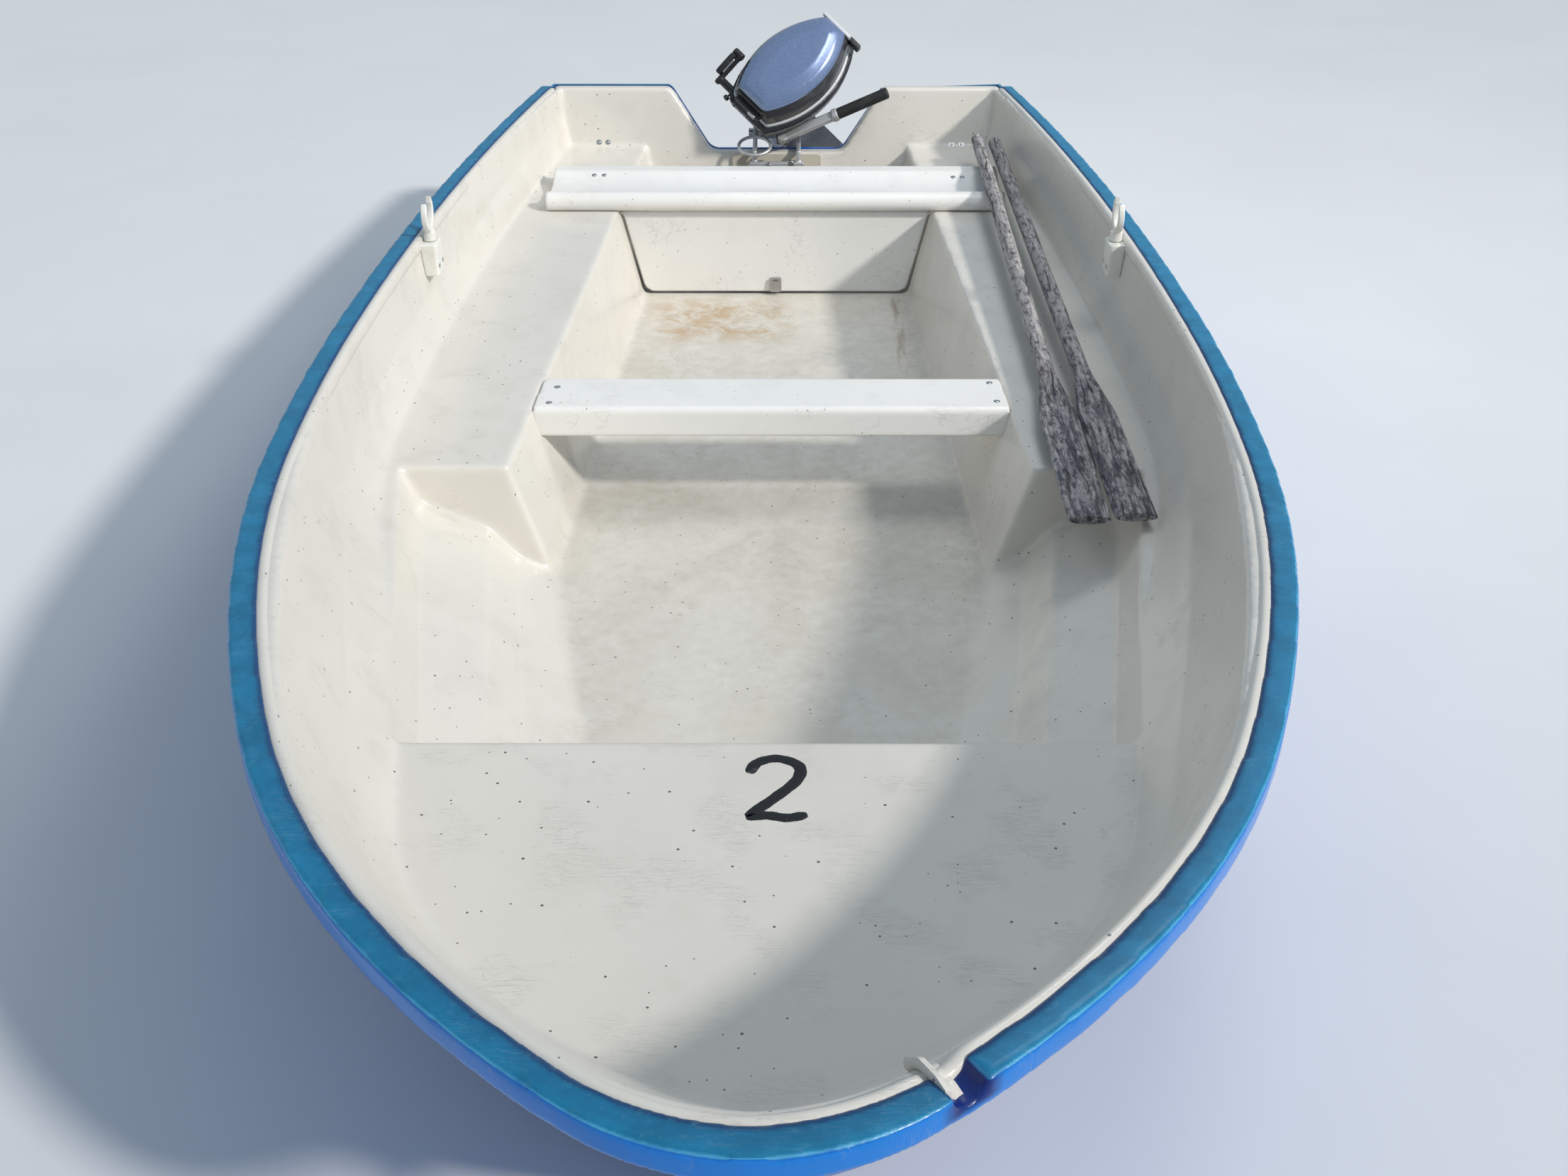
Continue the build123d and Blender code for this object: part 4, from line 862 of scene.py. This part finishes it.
# Moulded copies: node, voxel, smoothing passes, most triangles, finish, slot, body
MOULDED = (
    ("liner", 0.0065, 5, 185000, "cream", "cream_liner", "boat"),
    ("rubbing_strake", 0.0036, 10, 80000, "blue", "blue_shell", "boat"),
    ("thwart", 0.0036, 4, 24000, "white", "white_moulding", "boat"),
    ("stern_seat", 0.0042, 9, 36000, "white", "white_moulding", "boat"),
    ("locker_door", 0.0032, 5, 26000, "white", "white_moulding", "locker_door"),
    ("rowlock_starboard", 0.0017, 6, 16000, "nylon", "white_plastic", "rowlock_starboard"),
    ("rowlock_port", 0.0017, 6, 16000, "nylon", "white_plastic", "rowlock_port"),
    ("rowlock_socket_starboard", 0.0022, 6, 8000, "nylon", "white_plastic", "boat"),
    ("rowlock_socket_port", 0.0022, 6, 8000, "nylon", "white_plastic", "boat"),
    ("bow_eye", 0.0014, 5, 9000, "steel", "steel", "boat"),
    ("stern_eyes", 0.0014, 5, 12000, "steel", "steel", "boat"),
    ("clamp_screws", 0.0016, 5, 16000, "steel", "steel", "boat"),
    ("clamp_bracket", 0.0024, 4, 30000, "alloy", "alloy", "boat"),
    ("lower_yoke", 0.0022, 5, 9000, "motor", "motor_paint", "steer"),
    ("drive_housing", 0.0032, 8, 20000, "motor", "motor_paint", "steer"),
    ("gearcase", 0.0022, 5, 36000, "motor", "motor_paint", "steer"),
    ("propeller", 0.0013, 4, 30000, "propeller", "prop_paint", "propeller"),
    ("lower_cowl", 0.0030, 9, 24000, "pan", "cowl", "steer"),
    ("cowl_band", 0.0020, 5, 16000, "stripe", "cowl_band", "steer"),
    ("top_cowl", 0.0030, 12, 36000, "cowl", "cowl", "steer"),
    ("tiller_arm", 0.0018, 5, 12000, "alloy", "tiller", "steer"),
    ("tiller_grip", 0.0018, 4, 10000, "rubber", "rubber", "steer"),
    ("recoil_grip", 0.0016, 6, 7000, "black", "black_plastic", "steer"),
    ("shift_lever", 0.0018, 5, 10000, "black", "black_plastic", "steer"),
)


class MOTORBOAT_OT_mouldings(bpy.types.Operator):
    """Pieces whose edges turn softly, as moulded and cast pieces do"""

    bl_idname = "motorboat.mouldings"
    bl_label = "Moulded and cast pieces"

    def execute(self, context):
        for node, voxel, passes, most, look, slot, body in MOULDED:
            obj = mould(node, node + "_moulded", voxel, passes, most)
            if node == "lower_cowl":
                flare(obj)
            if node in ROWLOCKS:
                slim(obj, node + "_turn")
            finish_piece(obj, body, look, replaced=[node])
        hull = merged_copy("hull_skin", "hull_skin_smooth")
        finish_piece(hull, "boat", "blue", 20.0, ["hull_skin"])
        return {"FINISHED"}


# Section of the lip: outward and upward of the rim, in metres
LIP = ((0.0060, -0.0120), (0.0045, -0.0010), (0.0010, 0.0030), (-0.004, 0.0044), (-0.009, 0.0036),
       (-0.0125, 0.0002), (-0.0140, -0.007), (-0.0142, -0.024), (-0.004, -0.026))
NOTCH_NEAR = 0.06  # how near the notch the lip can dip
TONGUE_FROM, TONGUE_LONG, TONGUE_STEPS = -0.018, 0.058, 16  # start and length along the notch
TONGUE_SIDES = ((0.0, -196, -78), (0.0075, -190, -84))  # outer and inner side: depth, and its arc in degrees
TONGUE_TURNS, TONGUE_LAP = 12, 0.0025  # points along an arc, and the outer side's depth in the notch's wall
TIP_SHARE, TIP_SLOPE = 0.75, 0.02  # where the tongue bends down at its tip, and how steeply
ROOT_SHARE, ROOT_SLOPE = 0.3, 0.0528  # the same at its root


def notch_axes():
    """Directions of the notch: outward, and across it."""
    out = Vector((*NOTCH_WAY, 0)).normalized()
    return out, Vector((-out.y, out.x, 0))


def tongue(name):
    """Trough in the rim's notch, open upwards and bent down at both ends."""
    out, side = notch_axes()
    centre = Vector((*NOTCH, rim_height(NOTCH[1]) + NOTCH_RISE))
    bm = bmesh.new()
    rows = []
    for i in range(TONGUE_STEPS + 1):
        share = i / TONGUE_STEPS
        reach = TONGUE_FROM + TONGUE_LONG * share
        drop = TIP_SLOPE * max(0.0, share - TIP_SHARE) + ROOT_SLOPE * max(0.0, ROOT_SHARE - share)
        row = []
        for thick, low, high in TONGUE_SIDES:
            for j in range(TONGUE_TURNS + 1):
                turn = math.radians(low + (high - low) * j / TONGUE_TURNS)
                across = side * math.cos(turn) + Vector((0, 0, math.sin(turn)))
                place = centre + out * reach + across * (NOTCH_R + TONGUE_LAP - thick)
                row.append(bm.verts.new(place - Vector((0, 0, drop))))
        rows.append(row[:TONGUE_TURNS + 1] + row[:TONGUE_TURNS:-1])
    return skin(name, bm, rows)


class MOTORBOAT_OT_rim(bpy.types.Operator):
    """Lip of the liner along the strake, and its tongue in the notch at the port bow"""

    bl_idname = "motorboat.rim"
    bl_label = "Rim lip"

    def execute(self, context):
        path = []
        side = notch_axes()[1].xy
        for point, way in rim_path():
            away = point.xy - Vector(NOTCH)
            off = abs(away.dot(side)) if away.length < NOTCH_NEAR else 1.0
            dip = math.sqrt(NOTCH_R ** 2 - off * off) - NOTCH_RISE if off < NOTCH_R else 0.0
            path.append((point - Vector((0, 0, max(0.0, dip))), way))
        lip = sweep("liner_lip", path, LIP)
        modifier(lip, "SUBSURF", levels=1, render_levels=1)
        finish_piece(bake(lip), "boat", "cream", 60.0)
        finish_piece(tongue("fairlead_tongue"), "boat", "cream", 50.0)
        return {"FINISHED"}


# Fasteners: name, node that carries them, radius, height, way in, and the points they are dropped from
FASTENERS = (
    ("thwart_screws", "thwart", 0.0042, 0.002, (0, 0, -1),
     ((-0.430, 0.143, 0.35), (-0.438, 0.070, 0.35), (0.438, 0.165, 0.35), (0.444, 0.078, 0.35))),
    ("seat_screws", "stern_seat", 0.0040, 0.002, (0, 0, -1),
     ((-0.478, 1.392, 0.40), (-0.452, 1.392, 0.40), (0.466, 1.385, 0.40), (0.490, 1.385, 0.40))),
    ("transom_bolts", "liner", 0.0047, 0.003, (0, 1, 0),
     ((-0.503, 1.6, 0.262), (-0.478, 1.6, 0.262), (0.495, 1.6, 0.257), (0.523, 1.6, 0.257))),
    ("socket_screws_starboard", "rowlock_socket_starboard", 0.0036, 0.002, (-1, 0, 0),
     ((-0.60, 0.452, 0.392), (-0.60, 0.488, 0.392))),
    ("socket_screws_port", "rowlock_socket_port", 0.0036, 0.002, (1, 0, 0),
     ((0.60, 0.452, 0.392), (0.60, 0.488, 0.392))),
)
SCREW_DROP = 0.4  # how far a fastener looks for the surface it stands on


class MOTORBOAT_OT_fasteners(bpy.types.Operator):
    """Screws and bolts in the thwart, seat, transom and rowlock sockets"""

    bl_idname = "motorboat.fasteners"
    bl_label = "Fasteners"

    def execute(self, context):
        for name, node, radius, height, way, starts in FASTENERS:
            tree = surface_tree(bpy.data.objects[node + "_moulded"].data)
            spots = []
            for start in starts:
                place, normal, _, _ = tree.ray_cast(Vector(start), Vector(way), SCREW_DROP)
                if place is None:
                    raise RuntimeError(f"{name} has nothing to stand on at {start}")
                spots.append((place, normal if normal.dot(Vector(way)) < 0 else -normal))
            screw_heads(name, spots, radius, height)
        return {"FINISHED"}


# Small parts, in millimetres of the upright motor: name, low and high corner, rounding, finish, slot
MOTOR_BLOCKS = (
    ("cowl_button", (10, -121, 196), (36, -114, 209), 2.4, "steel", "steel"),
    ("cowl_slot", (-50, -103, 209.5), (50, -95, 224), 1.5, "black", "black_plastic"),
    ("cowl_rear_strip", (-52, 226, 214), (52, 236, 228), 2.5, "stripe", "cowl_band"),
    ("cowl_vent", (26, 228, 186), (84, 243, 211), 3.0, "black", "black_plastic"),
    ("pan_latch", (-118, 40, 130), (-108, 78, 158), 2.5, "black", "black_plastic"),
)
# Bars of the motor: name, points with radius, finish, slot
MOTOR_RODS = (
    ("lever_sleeve",
     ((-148, -86, 163, 5), (-148, -84, 163.6, 9), (-148, -74, 167, 10),
      (-148, -32, 181, 10), (-148, -22, 184, 9), (-148, -20, 184.6, 5)), "black", "black_plastic"),
    ("lever_strip",
     ((-136, -76, 172, 2), (-136, -74, 172.6, 3.4), (-136, -34, 186, 3.4), (-136, -32, 186.6, 2)),
     "steel", "steel"),
    ("choke_knob",
     ((-74, -92, 172, 3), (-74, -116, 172, 3), (-74, -117, 172, 8),
      (-74, -125, 172, 8.5), (-74, -127, 172, 6)),
     "black", "black_plastic"),
)


class MOTORBOAT_OT_motor_fittings(bpy.types.Operator):
    """Button, slot, vent, strips and knobs of the outboard motor"""

    bl_idname = "motorboat.motor_fittings"
    bl_label = "Motor fittings"

    def execute(self, context):
        for name, low, high, rounding, look, slot in MOTOR_BLOCKS:
            finish_piece(block(name, low, high, rounding), "steer", look, 35.0)
        for name, spine, look, slot in MOTOR_RODS:
            finish_piece(rod(name, spine), "steer", look, 50.0)
        return {"FINISHED"}


# Strokes of the digit on the bow platform, and their width and thickness
DIGIT = (
    ("digit_curve",
     ((-0.020, -1.104), (-0.010, -1.081), (0.018, -1.071), (0.047, -1.087), (0.045, -1.118),
      (0.014, -1.158), (-0.022, -1.196))),
    ("digit_foot", ((-0.023, -1.198), (0.004, -1.194), (0.032, -1.199), (0.058, -1.192))),
)
DIGIT_WIDTH, DIGIT_RISE = 0.0175, 0.0006


class MOTORBOAT_OT_number(bpy.types.Operator):
    """Plain digit brushed on the bow platform"""

    bl_idname = "motorboat.number"
    bl_label = "Painted digit"

    def execute(self, context):
        for name, points in DIGIT:
            obj = ribbon(name, points, DIGIT_WIDTH, BENCH_Z, DIGIT_RISE)
            finish_piece(obj, "boat", "enamel", 60.0)
        return {"FINISHED"}


FLOOR_HALF = 30  # half the floor's side
COWL_TOP, COWL_LEAN = 0.24, (0.20, 0.16)  # the cowl's top above the swivel, and its lean to port and aft
SOFTBOX_SIZE, SOFTBOX_AWAY = 1.2, 3.2


class MOTORBOAT_OT_stage(bpy.types.Operator):
    """Pale floor at the waterline, soft light and the camera"""

    bl_idname = "motorboat.stage"
    bl_label = "Stage"

    def execute(self, context):
        _, stage = settings()
        bm = bmesh.new()
        bmesh.ops.create_grid(bm, x_segments=1, y_segments=1, size=FLOOR_HALF)
        floor = from_bmesh("floor", bm)
        material, net, shader, place = new_material("Pale floor", 0.75)
        colour = net.mix(net.noise(place, 1.5, 4.0), (0.70, 0.71, 0.72), (0.78, 0.79, 0.80))
        net.tree.links.new(colour, shader.inputs["Base Color"])
        floor.data.materials.append(material)

        world = bpy.data.worlds.new("Studio")
        world.use_nodes = True
        sky = world.node_tree.nodes["Background"].inputs
        sky["Color"].default_value, sky["Strength"].default_value = (0.70, 0.85, 1.0, 1), stage.sky
        context.scene.world = world

        key = bpy.data.lights.new("Key", "SUN")
        key.energy = stage.sun
        key.angle = math.radians(5)
        key.color = (1.0, 0.96, 0.91)
        lamp = add_object("Key", key)
        lamp.rotation_euler = Vector(SUN_FROM).to_track_quat("Z", "Y").to_euler()

        port, aft, up, swivel = motor_frame()
        cowl = swivel + up * COWL_TOP
        normal = (up + port * COWL_LEAN[0] + aft * COWL_LEAN[1]).normalized()
        view = (cowl - Vector(CAMERA_AT)).normalized()
        mirror = view - 2 * view.dot(normal) * normal
        box = bpy.data.lights.new("Softbox", "AREA")
        box.energy, box.size = stage.softbox, SOFTBOX_SIZE
        lamp = add_object("Softbox", box)
        lamp.location = cowl + mirror * SOFTBOX_AWAY
        lamp.rotation_euler = mirror.to_track_quat("Z", "Y").to_euler()

        camera = bpy.data.cameras.new("Camera")
        camera.sensor_width = 36
        camera.lens = camera.sensor_width * stage.lens
        camera.clip_end = 200
        seen = add_object("Camera", camera)
        seen.location = CAMERA_AT
        seen.rotation_euler = (math.pi / 2 - stage.pitch, 0, math.radians(CAMERA_TURN))
        context.scene.camera = seen
        context.scene.view_settings.view_transform = "Standard"
        return {"FINISHED"}


class MOTORBOAT_PT_panel(bpy.types.Panel):
    """Lists the pieces that can be made"""

    bl_label = "Motorboat"
    bl_idname = "MOTORBOAT_PT_panel"
    bl_space_type = "VIEW_3D"
    bl_region_type = "UI"
    bl_category = "Motorboat"

    def draw(self, context):
        for operator in OPERATORS:
            self.layout.operator(operator.bl_idname)
        for group in settings():
            for name in group.__annotations__:
                self.layout.prop(group, name)


OPERATORS = (MOTORBOAT_OT_nodes, MOTORBOAT_OT_mouldings, MOTORBOAT_OT_rim, MOTORBOAT_OT_fasteners,
             MOTORBOAT_OT_motor_fittings, MOTORBOAT_OT_number, MOTORBOAT_OT_stage)
CLASSES = (HullSettings, StageSettings, *OPERATORS, MOTORBOAT_PT_panel)


def register():
    for cls in CLASSES:
        bpy.utils.register_class(cls)
    bpy.types.Scene.motorboat_hull = PointerProperty(type=HullSettings)
    bpy.types.Scene.motorboat_stage = PointerProperty(type=StageSettings)


def unregister():
    del bpy.types.Scene.motorboat_stage
    del bpy.types.Scene.motorboat_hull
    for cls in reversed(CLASSES):
        bpy.utils.unregister_class(cls)


def main():
    """Makes every piece in turn."""
    register()
    for operator in OPERATORS:
        category, name = operator.bl_idname.split(".")
        getattr(getattr(bpy.ops, category), name)()


if __name__ == "__main__":
    main()
